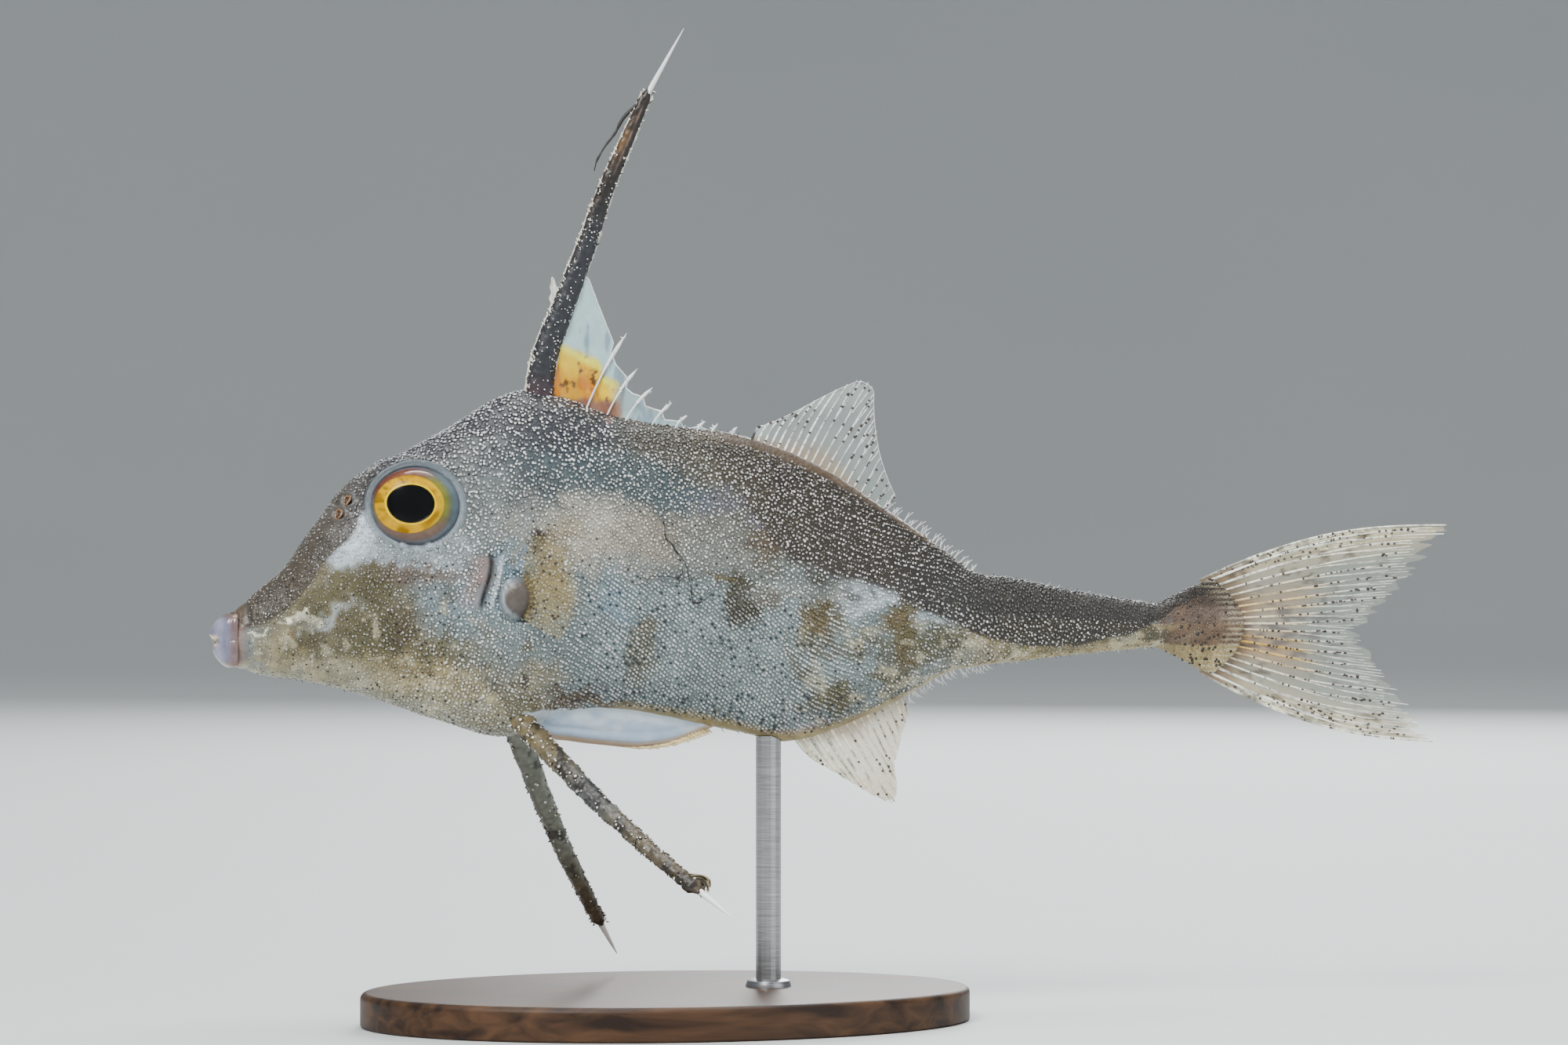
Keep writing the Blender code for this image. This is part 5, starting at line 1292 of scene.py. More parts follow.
def makeWeb():
    rows, columns = web["grid"]
    at = np.linspace(0, len(web["base"]) - 1, rows)
    nodes = np.arange(len(web["base"]))
    base, margin = (np.stack([np.interp(at, nodes, c) for c in np.array(web[k]).T], -1)[:, None]
                    for k in ("base", "margin"))
    t = np.linspace(0, 1, columns)[None, :, None]
    flat = base + (margin - base) * t
    x, z = flat[..., 0], flat[..., 1]
    spread = joined(x, 0 * x, z)
    y = 0.5 * (clouds(spread, 3.5, 14) - 0.5) + 0.16 * np.sin(x * 2.1 + z * 0.9)
    grid = joined(x, y, z)
    p = grid.reshape(-1, 3)
    veins = ease(0.52, 0.6, clouds(p * (1.6, 1, 0.5), 2.0, 15))
    wx = p[:, 0] + 0.8 * (clouds(p, 1.3, 16) - 0.5)
    wz = p[:, 2] + 0.9 * (clouds(p, 1.3, 17) - 0.5)
    roof = 20.4 - 0.42 * (wx - 42) - 1.5 * ease(45.2, 46.2, wx)
    warm = ease(roof + 0.5, roof - 0.5, wz) * ease(48.6, 46.4, wx)
    deep = ease(roof - 2.0, roof - 4.0, wz) + ease(0.5, 0.62, clouds(p * (1.5, 1, 0.7), 1.4, 18))
    vein = np.exp(-((wx - 43.8 - (wz - 13) * 0.52) / 0.22) ** 2)
    tone = layered(
        even(shade(206, 220, 228), p),
        (shade(150, 172, 186), veins * 0.7),
        (shade(226, 202, 20), warm),
        (shade(244, 226, 130), warm * ease(roof - 1.3, roof - 0.5, wz) * 0.9),
        (shade(204, 160, 10), warm * deep * 0.6),
        (shade(150, 120, 110), vein * ease(21, 19, wz) * 0.8),
        (shade(120, 74, 30), ease(0.68, 0.74, clouds(p, 0.8, 19)) * warm * 0.9),
        (shade(160, 124, 118), ease(14.7, 13.9, wz) * ease(49, 47, wx) * 0.9))
    foot = ease(1.8, 0.8, p[:, 2] - np.repeat(base[:, 0, 1], columns))
    alpha = (0.42 + 0.4 * warm + 0.2 * veins + 0.5 * foot) * (1 - 0.45 * ease(47.3, 48.3, wx))
    heap = newHeap()
    addPlate(heap, grid, web["half"], withAlpha(tone, np.clip(alpha, 0.12, 0.95)))
    build("spinous_web", heap, paint["fin"], ("spinous_dorsal_fin",))
    heap = newHeap()
    edge = grid[6:, -1]
    addTube(heap, edge, 0.05 + 0.05 * clouds(edge, 0.8, 22), 6, 1, (0, 1, 0), shade(240, 240, 236, 0.95))
    draw = np.random.default_rng(21)
    white = shade(246, 244, 238, 1)
    for x, z, tipX, tipZ in web["spines"]:
        t = np.linspace(-0.3, 1, 40)
        path = joined(x + (tipX - x) * t - 0.35 * np.sin(t * 3), 0.1 * np.sin(t * 5),
                      z + (tipZ - z) * t)
        path[:, 1] -= 0.5 * ease(0.75, 0.35, t)
        big = 0.75 + 0.03 * math.hypot(tipX - x, tipZ - z)
        radius = big * (0.09 + 0.11 * ease(0.45, 0.75, t)) * ease(1.02, 0.8, t) + 0.015
        addTube(heap, path, radius, 8, 0.9, (0, 1, 0), white)
        for _ in range(web["thorns"]):
            foot = path[int(draw.uniform(0.6, 0.97) * (len(path) - 1))]
            lean = unit((draw.normal(0.2, 0.7), draw.normal(0, 0.5), draw.normal(0.3, 0.4)))
            thorn = foot + np.outer((0, 0.25, 0.45), lean)
            addTube(heap, thorn, (0.09, 0.06, 0.012), 5, 1, (0, 1, 0.1), white)
    build("web_spines", heap, paint["bone"])


makeWeb()
print("web built")

# fins: a thin membrane and jointed rays that fork towards the margin

def rayTone(path, colours, joint, seed):
    # a ray's colour along its length, paler and darker by turns, with a darker ring at each joint
    run = np.concatenate(([0], np.cumsum(np.linalg.norm(np.diff(path, axis=0), axis=1))))
    ring = ease(0.7, 0.95, np.abs(((run / joint + seed * 0.37) % 1) - 0.5) * 2)
    chunk = clouds(path + seed, 1.6, 44)
    return colours * (0.5 + 0.75 * ease(0.25, 0.6, chunk) - 0.35 * ring)[:, None], ring


def addSpeck(heap, path, at, draw, colour):
    ahead = unit(path[min(at + 1, len(path) - 1)] - path[max(at - 1, 0)])
    line = path[at] + np.outer((-1, -0.5, 0, 0.5, 1), ahead * draw.uniform(0.14, 0.26))
    radius = np.array((0.03, 0.12, 0.15, 0.12, 0.03)) * draw.uniform(0.7, 1.25)
    tone = np.append(colour * draw.uniform(0.6, 1.5), 0.95)
    addTube(heap, line, radius, 6, 1.5, (0, 1, 0), tone)


def makeFin(name, nodes, at, fin):
    draw = np.random.default_rng(fin["seed"])
    rows, columns = fin["grid"]
    u, t = np.linspace(0, 1, rows)[:, None], np.linspace(0, 1, columns)[None]
    tears = softNoise(joined(u * fin["tears"], u * 0, u * 0), 1.0, 3)
    grid = at(u, t * (1 - fin["fray"] * tears))
    p = grid.reshape(-1, 3)
    heap = newHeap()
    tone, alpha = fin["sheet"]((u + 0 * t).ravel(), (0 * u + t).ravel(), p)
    addPlate(heap, grid, 0.04, withAlpha(tone, np.clip(alpha, 0.03, 0.95)))
    build(name + "_membrane", heap, paint["fin"], nodes)
    heap, specks = newHeap(), newHeap()
    for k, u0 in enumerate(fin["rays"]):
        for number, (a, b) in enumerate(fin["strands"](u0)):
            t = np.linspace(0, 1 + fin["beyond"] - fin["ragged"] * draw.random(), 100)
            first, second = (ease(*split, t) for split in fin["splits"])
            fork = fin["fork"] * (a * (0.08 + 0.92 * first) + 0.5 * b * second)
            path = at(np.clip(u0 + fork, 0, 1), t)
            path[:, 1] += 0.04 * b + 0.02 * a
            tone, ring = rayTone(path, fin["colour"](u0, t), fin["joint"], number + k * 3)
            radius = fin["thick"](u0, t) * (1 - 0.18 * ring + fin["bead"] * clouds(path, 0.5, 45))
            addTube(heap, path, radius, 6, 1.15, (0, 1, 0), withAlpha(tone, fin["solid"](u0, t)))
            for _ in range(draw.integers(*fin["specks"]) if number < 2 else 0):
                place = int(draw.uniform(0.1, 0.95) ** 0.8 * (len(path) - 1))
                addSpeck(specks, path, place, draw, shade(84, 70, 54))
    if fin["rim"]:
        edge = at(np.linspace(0.0, 1, 140), np.full(140, 0.99))
        addTube(heap, edge, fin["rim"], 6, 1, (0, 1, 0), shade(236, 238, 236, 0.8))
    build(name + "_rays", heap, paint["ray"])
    build(name + "_specks", specks, paint["ray"])


softFins = {
    "soft_dorsal": {"outline": "back", "sign": 1, "base": (63.4, 79.0), "sink": 1.2, "bow": 0.9,
                    "margin": ((65.2, 11.3), (68.6, 12.9), (72.2, 14.8), (75.0, 16.1), (77.0, 16.7),
                               (78.4, 15.8), (78.5, 14.0), (78.6, 11.6), (79.1, 8.2), (79.9, 5.6),
                               (81.0, 3.1))},
    "anal": {"outline": "belly", "sign": -1, "base": (68.3, 81.6), "sink": 1.2, "bow": -0.6,
             "margin": ((72.5, -28.6), (76.0, -30.8), (79.0, -32.5), (80.8, -33.0), (81.3, -31.6),
                        (80.9, -29.0), (81.4, -26.6), (81.9, -24.6), (82.6, -22.6))},
}


def softFinPoint(fin, u, t):
    u, t = np.broadcast_arrays(np.asarray(u, float), np.asarray(t, float))
    x = fin["base"][0] + (fin["base"][1] - fin["base"][0]) * u
    z = curveThrough(body[fin["outline"]], x) - fin["sign"] * fin["sink"]
    edge = alongPath(fin["margin"], u)
    px = x + (edge[..., 0] - x) * t
    pz = z + (edge[..., 1] - z) * t + fin["bow"] * np.sin(math.pi * np.minimum(t, 1)) * (1 - u)
    return joined(px, 0.25 * np.sin(u * 9 + t * 3) * t, pz)


def makeSoftFins():
    for name, shape in softFins.items():
        upper = shape["sign"] > 0

        def sheet(u, t, p):
            alpha = 0.07 + 0.1 * clouds(p, 2.0, 41) + 0.3 * ease(0.3, 0.1, t)
            alpha += 0.25 * ease(0.12, 0.0, u) + 0.12 * ease(0.62, 0.45, u) * ease(0.6, 0.9, t)
            tone = even(shade(206, 214, 210) if upper else shade(212, 204, 184), p)
            tone = blend(tone, shade(196, 176, 146), ease(0.35, 0.15, t) * 0.8)
            return tone, alpha + 0.22 * (not upper)

        def colour(u0, t):
            pale = even(shade(240, 242, 236) if upper else shade(240, 232, 212), t)
            return blend(pale, shade(70, 64, 54), ease(0.7, 0.3, t) * (u0 < 0.02 and upper))

        makeFin(name, (name + "_fin",), lambda u, t, s=shape: softFinPoint(s, u, t), {
            "seed": 31 if upper else 32, "grid": (110, 40), "tears": 40, "fray": 0.05,
            "rays": (np.arange(20) / 19) ** 1.06 if upper else np.arange(16) / 15,
            "strands": lambda u0: ((0, 0),) if u0 < 0.4 else ((-1, 0), (1, 0)), "beyond": 0.015,
            "ragged": 0.03, "fork": 0.011, "splits": ((0.5, 0.9), (0.7, 1.0)), "joint": 0.8, "bead": 0.5,
            "colour": colour, "thick": lambda u0, t, big=1.0 if upper else 1.4:
                big * (0.13 if u0 < 0.4 else 0.09) * (1 - 0.5 * np.minimum(t, 1)),
            "solid": lambda u0, t: (1.0 - 0.1 * t) if u0 < 0.5 else 0.85 - 0.3 * t,
            "specks": (2, 5) if upper else (1, 3), "sheet": sheet, "rim": 0.04})


makeSoftFins()
print("soft fins built")


def tailPoint(u, t):
    # u runs from the top ray to the bottom one
    u, t = np.broadcast_arrays(np.asarray(u, float), np.asarray(t, float))
    v = 1 - 2 * u
    far = np.abs(v)
    up = v > 0
    reach = np.where(up, tail["upper"]["long"] * far ** tail["upper"]["power"],
                     tail["lower"]["long"] * far ** tail["lower"]["power"])
    tall = np.where(up, tail["upper"]["tall"], tail["lower"]["tall"])
    tip = joined(tail["fork"][0] + reach, 0 * v, tail["fork"][1] + tall * v)
    root = tailRoot(v) - joined(0 * v + 1.2, 0 * v, 0.25 * v)
    p = root + (tip - root) * t[..., None]
    p[..., 2] += tail["bow"] * v * far * np.sin(math.pi * np.clip(t, 0, 1))
    p[..., 1] += 0.35 * np.sin(v * 5 + 1) * t**2
    return p


def makeTail():
    def golden(u):
        v = 1 - 2 * u
        return np.exp(-((v + 0.3) / 0.3) ** 2) + 0.75 * np.exp(-((v - 0.38) / 0.3) ** 2)

    def sheet(u, t, p):
        far = np.abs(1 - 2 * u)
        blots = ease(0.55, 0.68, clouds(p * (0.8, 1, 1.2), 1.3, 47)) * ease(0.98, 0.75, t)
        tone = layered(
            even(shade(190, 196, 186), p),
            (shade(214, 206, 186), ease(0.6, 0.95, far) * 0.8),
            (shade(206, 176, 110), golden(u) * ease(0.7, 0.35, t) * 0.75),
            (shade(146, 122, 94), ease(0.24, 0.06, t) * 0.85),
            (shade(120, 98, 78), blots * 0.8))
        alpha = 0.2 + 0.34 * ease(0.6, 1.0, far) * ease(1.05, 0.8, t) + 0.5 * ease(0.22, 0.05, t)
        alpha = alpha + 0.16 * golden(u) * ease(0.6, 0.3, t) + 0.4 * blots * ease(0.45, 0.7, far)
        return tone, alpha * (0.7 + 0.6 * clouds(p, 2.2, 43))

    def colour(u0, t):
        pale = even(shade(232, 230, 218), t)
        return blend(pale, shade(208, 188, 112), golden(u0) * ease(0.75, 0.4, t))

    count = tail["rays"] * 2
    makeFin("tail", ("tail_fin_upper", "tail_fin_lower"), tailPoint, {
        "seed": 51, "grid": (184, 58), "tears": 70, "fray": 0.1, "rays": (np.arange(count) + 0.5) / count,
        "strands": lambda u0: ((-1, -1), (-1, 1), (1, -1), (1, 1)), "beyond": 0.0, "ragged": 0.13,
        "fork": 0.0145, "splits": ((0.35, 0.75), (0.6, 0.95)), "joint": 0.9, "bead": 0.35,
        "colour": colour,
        "thick": lambda u0, t: 0.105 * (1 - 0.6 * t) * (1.25 if abs(1 - 2 * u0) > 0.75 else 1.0),
        "solid": lambda u0, t: np.clip(1 - (0.85 - 0.5 * abs(1 - 2 * u0)) * ease(0.35, 1.0, t), 0, 1),
        "specks": (6, 13), "sheet": sheet, "rim": 0})
    # short rays that stiffen the two outer edges
    draw = np.random.default_rng(52)
    heap, specks = newHeap(), newHeap()
    for upper in (True, False):
        for k in range(tail["edgeRays"]):
            t = np.linspace(0.04 * k, 0.98 - 0.05 * k, 90)
            u0 = -0.008 + 0.011 * k
            path = tailPoint(u0 if upper else 1 - u0, t)
            path[:, 1] += 0.06 * (k % 2)
            tone, ring = rayTone(path, even(shade(232, 226, 212), t), 1.0, k)
            tone = layered(
                tone,
                (shade(126, 106, 84), ease(0.52, 0.62, clouds(path, 1.1, 49))
                 * ease(0.95, 0.7, t) * 0.7),
                (shade(126, 104, 86), ease(0.2, 0.0, t - t[0]) * 0.8))
            radius = (0.15 - 0.01 * k) * (1 - 0.55 * t) * (1 - 0.15 * ring + 0.4 * clouds(path, 0.5, 48))
            radius *= 0.3 + 0.7 * ease(0.0, 0.14, t - t[0])
            addTube(heap, path, radius, 7, 1.0, (0, 1, 0), withAlpha(tone, 0.9))
            for _ in range(tail["edgeSpecks"]):
                at = int(draw.uniform(0, len(path) - 1))
                addSpeck(specks, path, at, draw, shade(104, 84, 68))
    build("tail_edges", heap, paint["ray"])
    build("tail_edge_specks", specks, paint["ray"])


makeTail()
print("tail built")

pectoral = {"x": 34.9, "z": -8.7, "root": 1.7, "long": 8.8, "low": -24, "high": 62, "spread": 50,
            "cup": 0.8, "sunk": (-0.4, 0.9)}


def pectoralPoint(side, u, t):
    u, t = np.broadcast_arrays(np.asarray(u, float), np.asarray(t, float))
    place = bodySide(pectoral["x"], pectoral["z"], side)[0]
    swing = math.radians(pectoral["spread"])
    away = np.array((math.cos(swing), side * math.sin(swing), 0))
    a = np.radians(pectoral["low"] + (pectoral["high"] - pectoral["low"]) * u)[..., None]
    ray = away * np.cos(a) + np.array((0, 0, 1)) * np.sin(a)
    long = pectoral["long"] * (0.66 + 0.34 * np.sin(math.pi * (0.2 + 0.7 * u)))
    sunk = np.array((pectoral["sunk"][0], -side * pectoral["sunk"][1], 0))
    root = place + sunk + joined(0 * u, 0 * u, pectoral["root"] * (2 * u - 1))
    cup = joined(pectoral["cup"] * t * t * np.sin(math.pi * u), 0 * u, 0 * u)
    return root + ray * (long * t)[..., None] + cup


def makePectorals():
    def sheet(u, t, p):
        tone = even(shade(190, 180, 140), p)
        tone = blend(tone, shade(150, 126, 76), ease(0.55, 0.1, t) * 0.8)
        return tone, 0.07 + 0.08 * clouds(p, 1.5, 61) + 0.3 * ease(0.4, 0.05, t)

    for side in (-1, 1):
        name = "left" if side < 0 else "right"
        makeFin("pectoral_" + name, ("pectoral_fin_" + name,),
                lambda u, t, s=side: pectoralPoint(s, u, t), {
            "seed": 33, "grid": (80, 36), "tears": 50, "fray": 0.07, "rays": np.arange(13) / 12,
            "strands": lambda u0: ((-1, 0), (1, 0)), "beyond": 0.0, "ragged": 0.06, "fork": 0.017,
            "splits": ((0.4, 0.9), (0.7, 1.0)), "joint": 0.7, "bead": 0.2,
            "colour": lambda u0, t: even(shade(196, 188, 150), t),
            "thick": lambda u0, t: 0.07 * (1 - 0.55 * t), "solid": lambda u0, t: 0.4 - 0.35 * t,
            "specks": (1, 3), "sheet": sheet, "rim": 0})


makePectorals()
print("pectoral fins built")

# pelvic keel

keel = {"start": 37.4, "end": 59.0, "half": 2.3, "endHalf": 0.6, "top": -18.6,
        "edge": ((37.4, -23.6), (39.3, -25.0), (42.0, -25.5), (46.0, -26.0), (51.0, -26.3), (54.5, -25.7),
                 (57.0, -24.8), (59.0, -24.0))}


def makeKeel():
    x = np.linspace(keel["start"], keel["end"], 150)[:, None]
    turn = circle(72)[None]
    half = (keel["half"] + (keel["endHalf"] - keel["half"]) * (x - keel["start"])
            / (keel["end"] - keel["start"]))
    low = curveThrough(keel["edge"], x)
    c, s = np.cos(turn), np.sin(turn)
    groove = 0.14 * np.exp(-((s + 0.55) / 0.06) ** 2) + 0.1 * np.exp(-((s + 0.86) / 0.03) ** 2)
    y = half * np.sign(c) * np.abs(c) ** 0.85 * (1 - groove)
    rings = joined(x, y, (keel["top"] + low) / 2 + (keel["top"] - low) / 2 * s)
    p = rings.reshape(-1, 3)
    edge = curveThrough(keel["edge"], p[:, 0])
    marks = (ease(0.58, 0.63, clouds(p * (0.4, 1, 1), 1.0, 67))
             * ease(edge + 0.4, edge + 0.15, p[:, 2]))
    tone = layered(
        even(hues["keel"], p),
        (shade(166, 184, 202), ease(0.45, 0.65, clouds(p * (0.5, 1, 1), 2.0, 65)) * 0.6),
        (shade(190, 172, 142), ease(edge + 0.9, edge + 0.4, p[:, 2]) * 0.85),
        (shade(92, 62, 42), marks * ease(54, 51, p[:, 0])))
    tone *= (0.9 + 0.2 * clouds(p, 1.2, 69))[:, None]
    heap = newHeap()
    addRings(heap, rings, withAlpha(tone))
    build("keel_plate", heap, paint["keel"], ("pelvic_keel",))
    # saw-toothed scales along the rear of its lower edge
    heap = newHeap()
    draw = np.random.default_rng(71)
    for x0 in np.arange(46.0, 58.4, 0.4):
        long = (0.3 + 0.5 * float(ease(46, 52, x0))) * draw.uniform(0.8, 1.2)
        for y0 in (-0.25, 0.25):
            foot = np.array((x0, y0 + draw.normal(0, 0.06), float(curveThrough(keel["edge"], x0)) + 0.25))
            lean = unit((1.0, y0 * 0.4, -0.5))
            path = foot + np.outer((0, 0.45, 0.8, 1.0), lean * (long + 0.2))
            tone = np.append(shade(226, 212, 184) * draw.uniform(0.8, 1.1), 0.95)
            addTube(heap, path, (0.2, 0.17, 0.1, 0.02), 6, 0.8, (0, 1, 0), tone)
    build("keel_teeth", heap, paint["barb"])


makeKeel()
print("keel built")

# fine trim: bristles along the back and belly, nostril rims, dark threads on the left side

# bristles: from x to x, the outline they stand on, up or down, how many, and their size
trim = {
    "bristles": ((79.5, 90.5, "back", 1, 24, 1.0), (81.8, 92.0, "belly", -1, 26, 1.0),
                 (58.5, 66.0, "belly", -1, 8, 0.5), (26.0, 38.0, "back", 1, 14, 0.3),
                 (93.0, 112.0, "back", 1, 16, 0.35), (93.0, 112.0, "belly", -1, 22, 0.35),
                 (8.0, 32.0, "belly", -1, 26, 0.3), (48.0, 62.0, "back", 1, 12, 0.35)),
    "threads": (((51.9, 0.1), (52.5, -2.2), (53.5, -3.4), (54.6, -5.1), (55.1, -7.2), (55.5, -9.4)),
                ((54.2, -5.3), (54.0, -6.1), (51.9, -6.2), (50.0, -6.5), (49.6, -7.3)),
                ((55.4, -9.2), (56.6, -9.1), (57.5, -8.4))),
}


def makeTrim():
    draw = np.random.default_rng(61)
    heap = newHeap()
    for start, end, outline, sign, count, size in trim["bristles"]:
        for x in np.linspace(start, end, count) + draw.normal(0, 0.15, count):
            z = float(curveThrough(body[outline], x))
            long = draw.uniform(0.6, 1.3) * size
            lean = unit((draw.uniform(0.1, 0.9), draw.normal(0, 0.25), sign))
            t = np.linspace(0, 1, 7)
            foot = np.array((x, draw.normal(0, 0.25), z - sign * 0.25))
            pale = shade(240, 238, 230) if size == 1 or draw.random() < 0.4 else shade(80, 66, 52)
            for fork in ((0,) if size < 1 else (-0.3, 0.3)):
                curl = np.outer(t**3, (fork + 0.15 * long, fork * 0.4, 0))
                path = foot + np.outer(t, lean * (long + 0.25)) + curl
                radius = 0.1 * (1 - 0.75 * t) * (0.6 + 0.4 * size)
                addTube(heap, path, radius, 5, 1, (0, 1, 0), np.append(pale, 0.9))
    build("skin_bristles", heap, paint["barb"])
    heap = newHeap()
    for thread in trim["threads"]:
        path = alongPath(thread, np.linspace(0, 1, 60))
        path = joined(path[:, 0], -breadthAt(path[:, 0], path[:, 1]) - 0.4, path[:, 1])
        path += (clouds(path, 1.2, 66)[:, None] - 0.5) * (0.5, 0, 0.5)
        radius = 0.05 + 0.16 * ease(0.45, 0.7, clouds(path, 0.9, 67))
        addTube(heap, path, radius, 6, 0.8, (1, 0, 0.3), shade(50, 40, 36, 1))
    build("skin_threads", heap, paint["spine"])
    heap = newHeap()
    turn = circle(28)[:, None]
    around = circle(10)[:, None]
    for side in (-1, 1):
        for number, (nx, nz) in enumerate(nostrils):
            place, out = bodySide(nx, nz, side)
            fore = unit(np.cross((0, 0, 1), out))
            up = np.cross(out, fore)
            for radius, lift, thick, colour in ((0.5, 0.1, 0.15, shade(150, 124, 90)),
                                                (0.22, -0.1, 0.26, shade(84, 60, 42))):
                oval = np.cos(turn) * fore * 0.8 + np.sin(turn) * up * 1.2
                ring = place + out * lift + oval * radius * (1 + 0.15 * np.sin(turn * 3 + number))
                lean = unit(oval)[:, None] * np.cos(around) + out * np.sin(around)
                tube = ring[:, None] + lean * thick
                quads = gridQuads(len(turn) + 1, len(around), True) % (len(turn) * len(around))
                flat = tube.reshape(-1, 3)
                if volumeSign(flat - flat.mean(0), quads) < 0:
                    quads = quads[:, ::-1]
                tone = withAlpha(colour * (0.6 + 0.8 * clouds(flat, 0.4, 68))[:, None])
                addTo(heap, flat, quads, (), tone)
    build("nostril_rims", heap, paint["lip"])


makeTrim()
print("trim built")

# stand

stand = {"long": 36.0, "wide": 24.0, "thick": 4.0, "edge": 0.8, "sides": 128, "rod": 65.7}


def strokedMaterial(name, stretch, colours, roughness, metal=0.0, specular=0.4):
    # wood or metal with its grain drawn out one way
    material, nodes, links = materialOf(name)
    shader = nodes["Principled BSDF"]
    grain = setInputs(noiseNode(nodes, links, 1.0, 8.0, stretch=stretch), {"Distortion": 0.6})
    ramp = nodes.new("ShaderNodeValToRGB")
    for element, place, colour in zip(ramp.color_ramp.elements, (0.36, 0.66), colours):
        element.position = place
        element.color = (*colour, 1)
    links.new(grain.outputs["Fac"], ramp.inputs["Fac"])
    links.new(ramp.outputs["Color"], shader.inputs["Base Color"])
    links.new(ranged(nodes, links, grain.outputs["Fac"], *roughness), shader.inputs["Roughness"])
    bumped(nodes, links, grain.outputs["Fac"], 0.12, 0.0001)
    setInputs(shader, {"Metallic": metal, "Specular IOR Level": specular})
    return material


def makeStand():
    bottom = -origin["z"]
    # how far in from the rim and how high: a small bevel below, a rounded edge above
    profile = [(0.25, 0.0), (0.0, 0.25)]
    for a in np.linspace(0, math.pi / 2, 9):
        profile.append((stand["edge"] * (1 - math.cos(a)),
                        stand["thick"] - stand["edge"] * (1 - math.sin(a))))
    inset, height = np.array(profile).T[..., None]
    turn = circle(stand["sides"])[None]
    rings = joined(-origin["x"] + (stand["long"] - inset) * np.cos(turn),
                   (stand["wide"] - inset) * np.sin(turn), bottom + height)
    heap = newHeap()
    addRings(heap, rings)
    walnut = strokedMaterial("dark walnut", (50, 480, 480),
                             ((0.02, 0.01, 0.006), (0.085, 0.042, 0.02)), (0.4, 0.55), specular=0.25)
    steel = strokedMaterial("brushed steel", (300, 300, 9000),
                            ((0.3, 0.3, 0.31), (0.5, 0.5, 0.51)), (0.25, 0.42), 1.0)
    plinth = build("stand_plinth", heap, walnut, ("stand_base",))
    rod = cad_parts["stand_rod"]
    rod.data.materials.clear()
    rod.data.materials.append(steel)
    # a small steel collar where the rod meets the plinth
    heap = newHeap()
    foot = np.array((stand["rod"], 0, bottom + stand["thick"]))
    path = foot + np.outer((-0.5, 0.1, 0.7, 0.9), (0, 0, 1))
    addTube(heap, path, (2.7, 2.7, 2.5, 1.9), 48, 1, (0, 1, 0))
    for piece in (plinth, build("stand_collar", heap, steel)):
        piece.data.set_sharp_from_angle(angle=math.radians(35))


makeStand()
print("stand built")

# floor, light and camera

studio = {
    "floor": 1.5, "wall": 3.4, "high": 3.0, "sides": 96, "aim": (0.01397, 0.0, 0.0585), "away": 0.6,
    "yaw": 12.0, "view": 0.0922, "sensor": 36.0,
    "lamps": (("key", (-0.45, -0.6, 0.75), 0.35, 12.0, (1.0, 0.98, 0.95)),
              ("fill", (0.6, -0.7, 0.3), 0.8, 2.6, (0.94, 0.97, 1.0)),
              ("top", (0.05, 0.05, 0.9), 0.5, 8.0, (1.0, 1.0, 1.0)),
              ("rim", (0.35, 0.75, 0.45), 0.5, 8.0, (0.97, 0.99, 1.0))),
    "sky": (0.86, 0.9, 0.93, 1), "skyPower": 0.6,
}


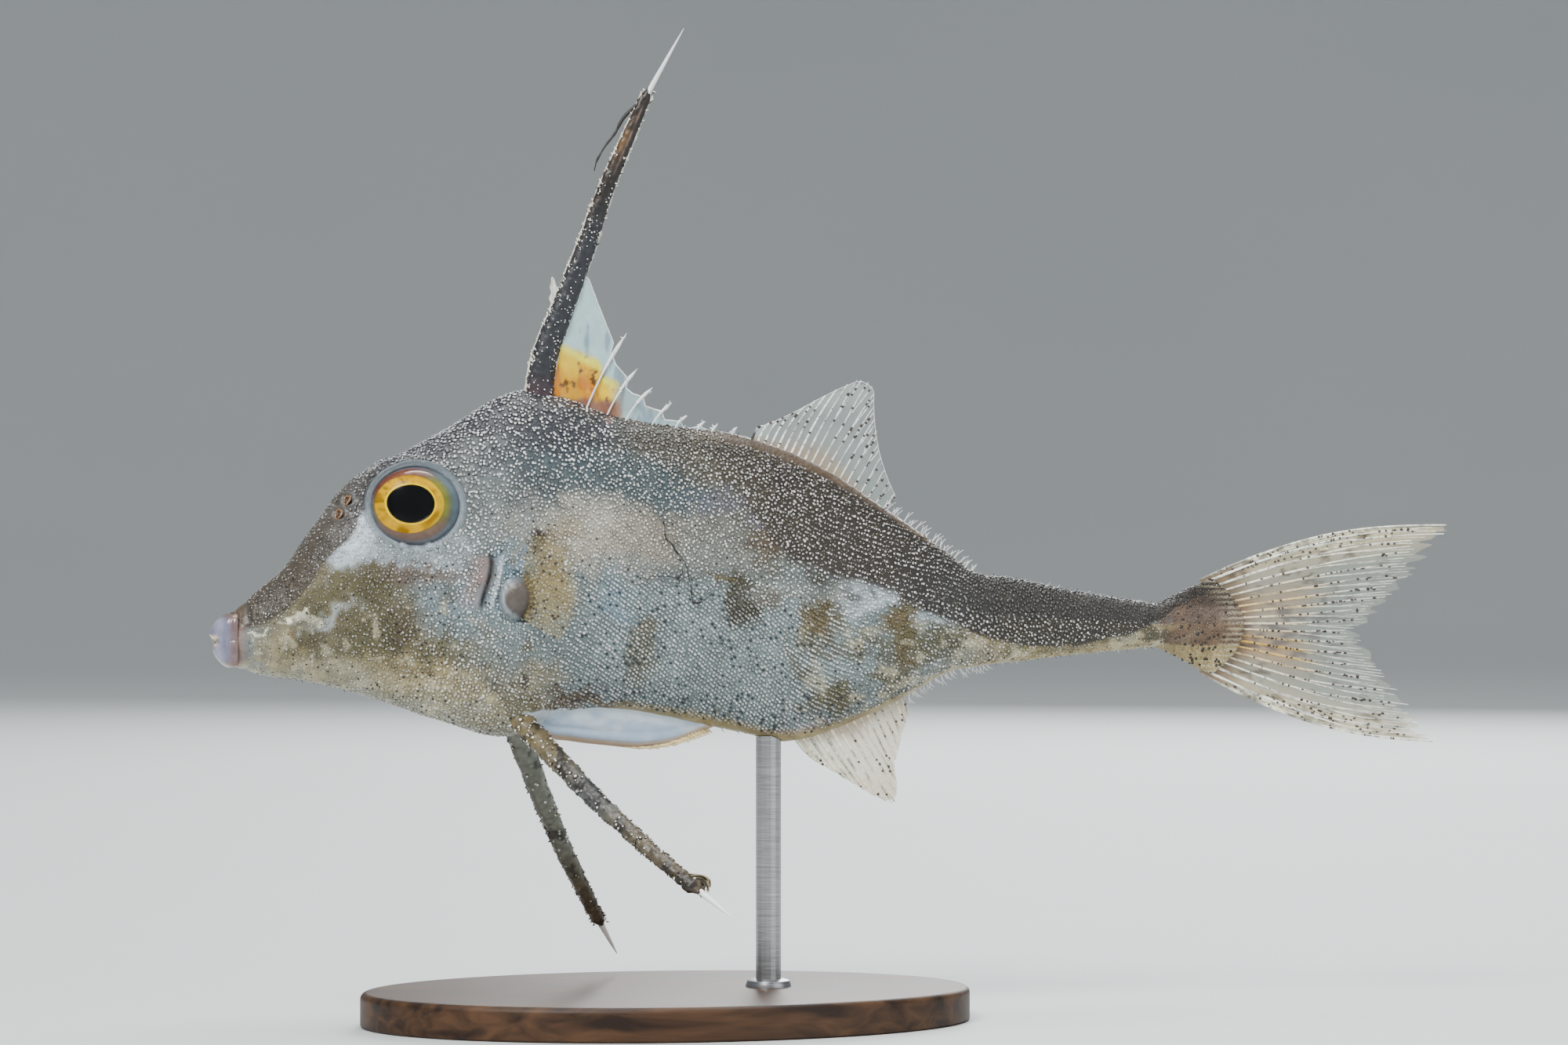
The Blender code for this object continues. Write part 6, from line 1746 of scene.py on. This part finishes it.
def makeStudio():
    # a wide bowl: flat floor that sweeps up into a pale wall all round
    sides = studio["sides"]
    turn = circle(sides)[None]
    rise = np.linspace(0, math.pi / 2, 25)
    sweep = studio["floor"] + (studio["wall"] - studio["floor"]) * np.sin(rise)
    radius = np.concatenate(([0.02, 0.5], sweep))
    height = np.concatenate(([0, 0], studio["high"] * (1 - np.cos(rise))))
    radius, height = radius[:, None], height[:, None]
    points = joined(radius * np.cos(turn), radius * np.sin(turn), height)
    mesh = bpy.data.meshes.new("studio_floor")
    flat = np.concatenate((points.reshape(-1, 3), [(0, 0, 0)]))
    faces = gridQuads(len(radius), sides, True).tolist()
    faces += [(k, (k + 1) % sides, len(flat) - 1) for k in range(sides)]
    mesh.from_pydata(flat.tolist(), [], faces)
    mesh.shade_smooth()
    floor = bpy.data.objects.new("studio_floor", mesh)
    bpy.context.scene.collection.objects.link(floor)
    material, nodes, links = materialOf("pale floor")
    mottle = noiseNode(nodes, links, 4.0)
    ramp = nodes.new("ShaderNodeValToRGB")
    ramp.color_ramp.elements[0].color = (0.52, 0.55, 0.56, 1)
    ramp.color_ramp.elements[1].color = (0.58, 0.6, 0.6, 1)
    links.new(mottle.outputs["Fac"], ramp.inputs["Fac"])
    links.new(ramp.outputs["Color"], nodes["Principled BSDF"].inputs["Base Color"])
    setInputs(nodes["Principled BSDF"], {"Roughness": 0.7})
    mesh.materials.append(material)
    for name, place, size, watts, colour in studio["lamps"]:
        light = bpy.data.lights.new(name, "AREA")
        light.size, light.energy, light.color = size, watts, colour
        lamp = bpy.data.objects.new(name, light)
        lamp.location = place
        lamp.rotation_euler = (Vector((0, 0, 0.055)) - Vector(place)).to_track_quat("-Z", "Y").to_euler()
        bpy.context.scene.collection.objects.link(lamp)
    world = bpy.data.worlds.new("studio")
    world.use_nodes = True
    setInputs(world.node_tree.nodes["Background"],
              {"Color": studio["sky"], "Strength": studio["skyPower"]})
    bpy.context.scene.world = world
    view = bpy.data.cameras.new("camera")
    view.sensor_width = studio["sensor"]
    view.lens = studio["sensor"] * studio["away"] * 1000 / (2000 * studio["view"])
    view.clip_start, view.clip_end = 0.02, 20
    camera = bpy.data.objects.new("camera", view)
    yaw = math.radians(studio["yaw"])
    camera.location = Vector(studio["aim"]) - Vector((math.sin(yaw), math.cos(yaw), 0)) * studio["away"]
    camera.rotation_euler = (math.pi / 2, 0, -yaw)
    bpy.context.scene.collection.objects.link(camera)
    bpy.context.scene.camera = camera


makeStudio()
bpy.context.view_layer.update()
print("studio built")
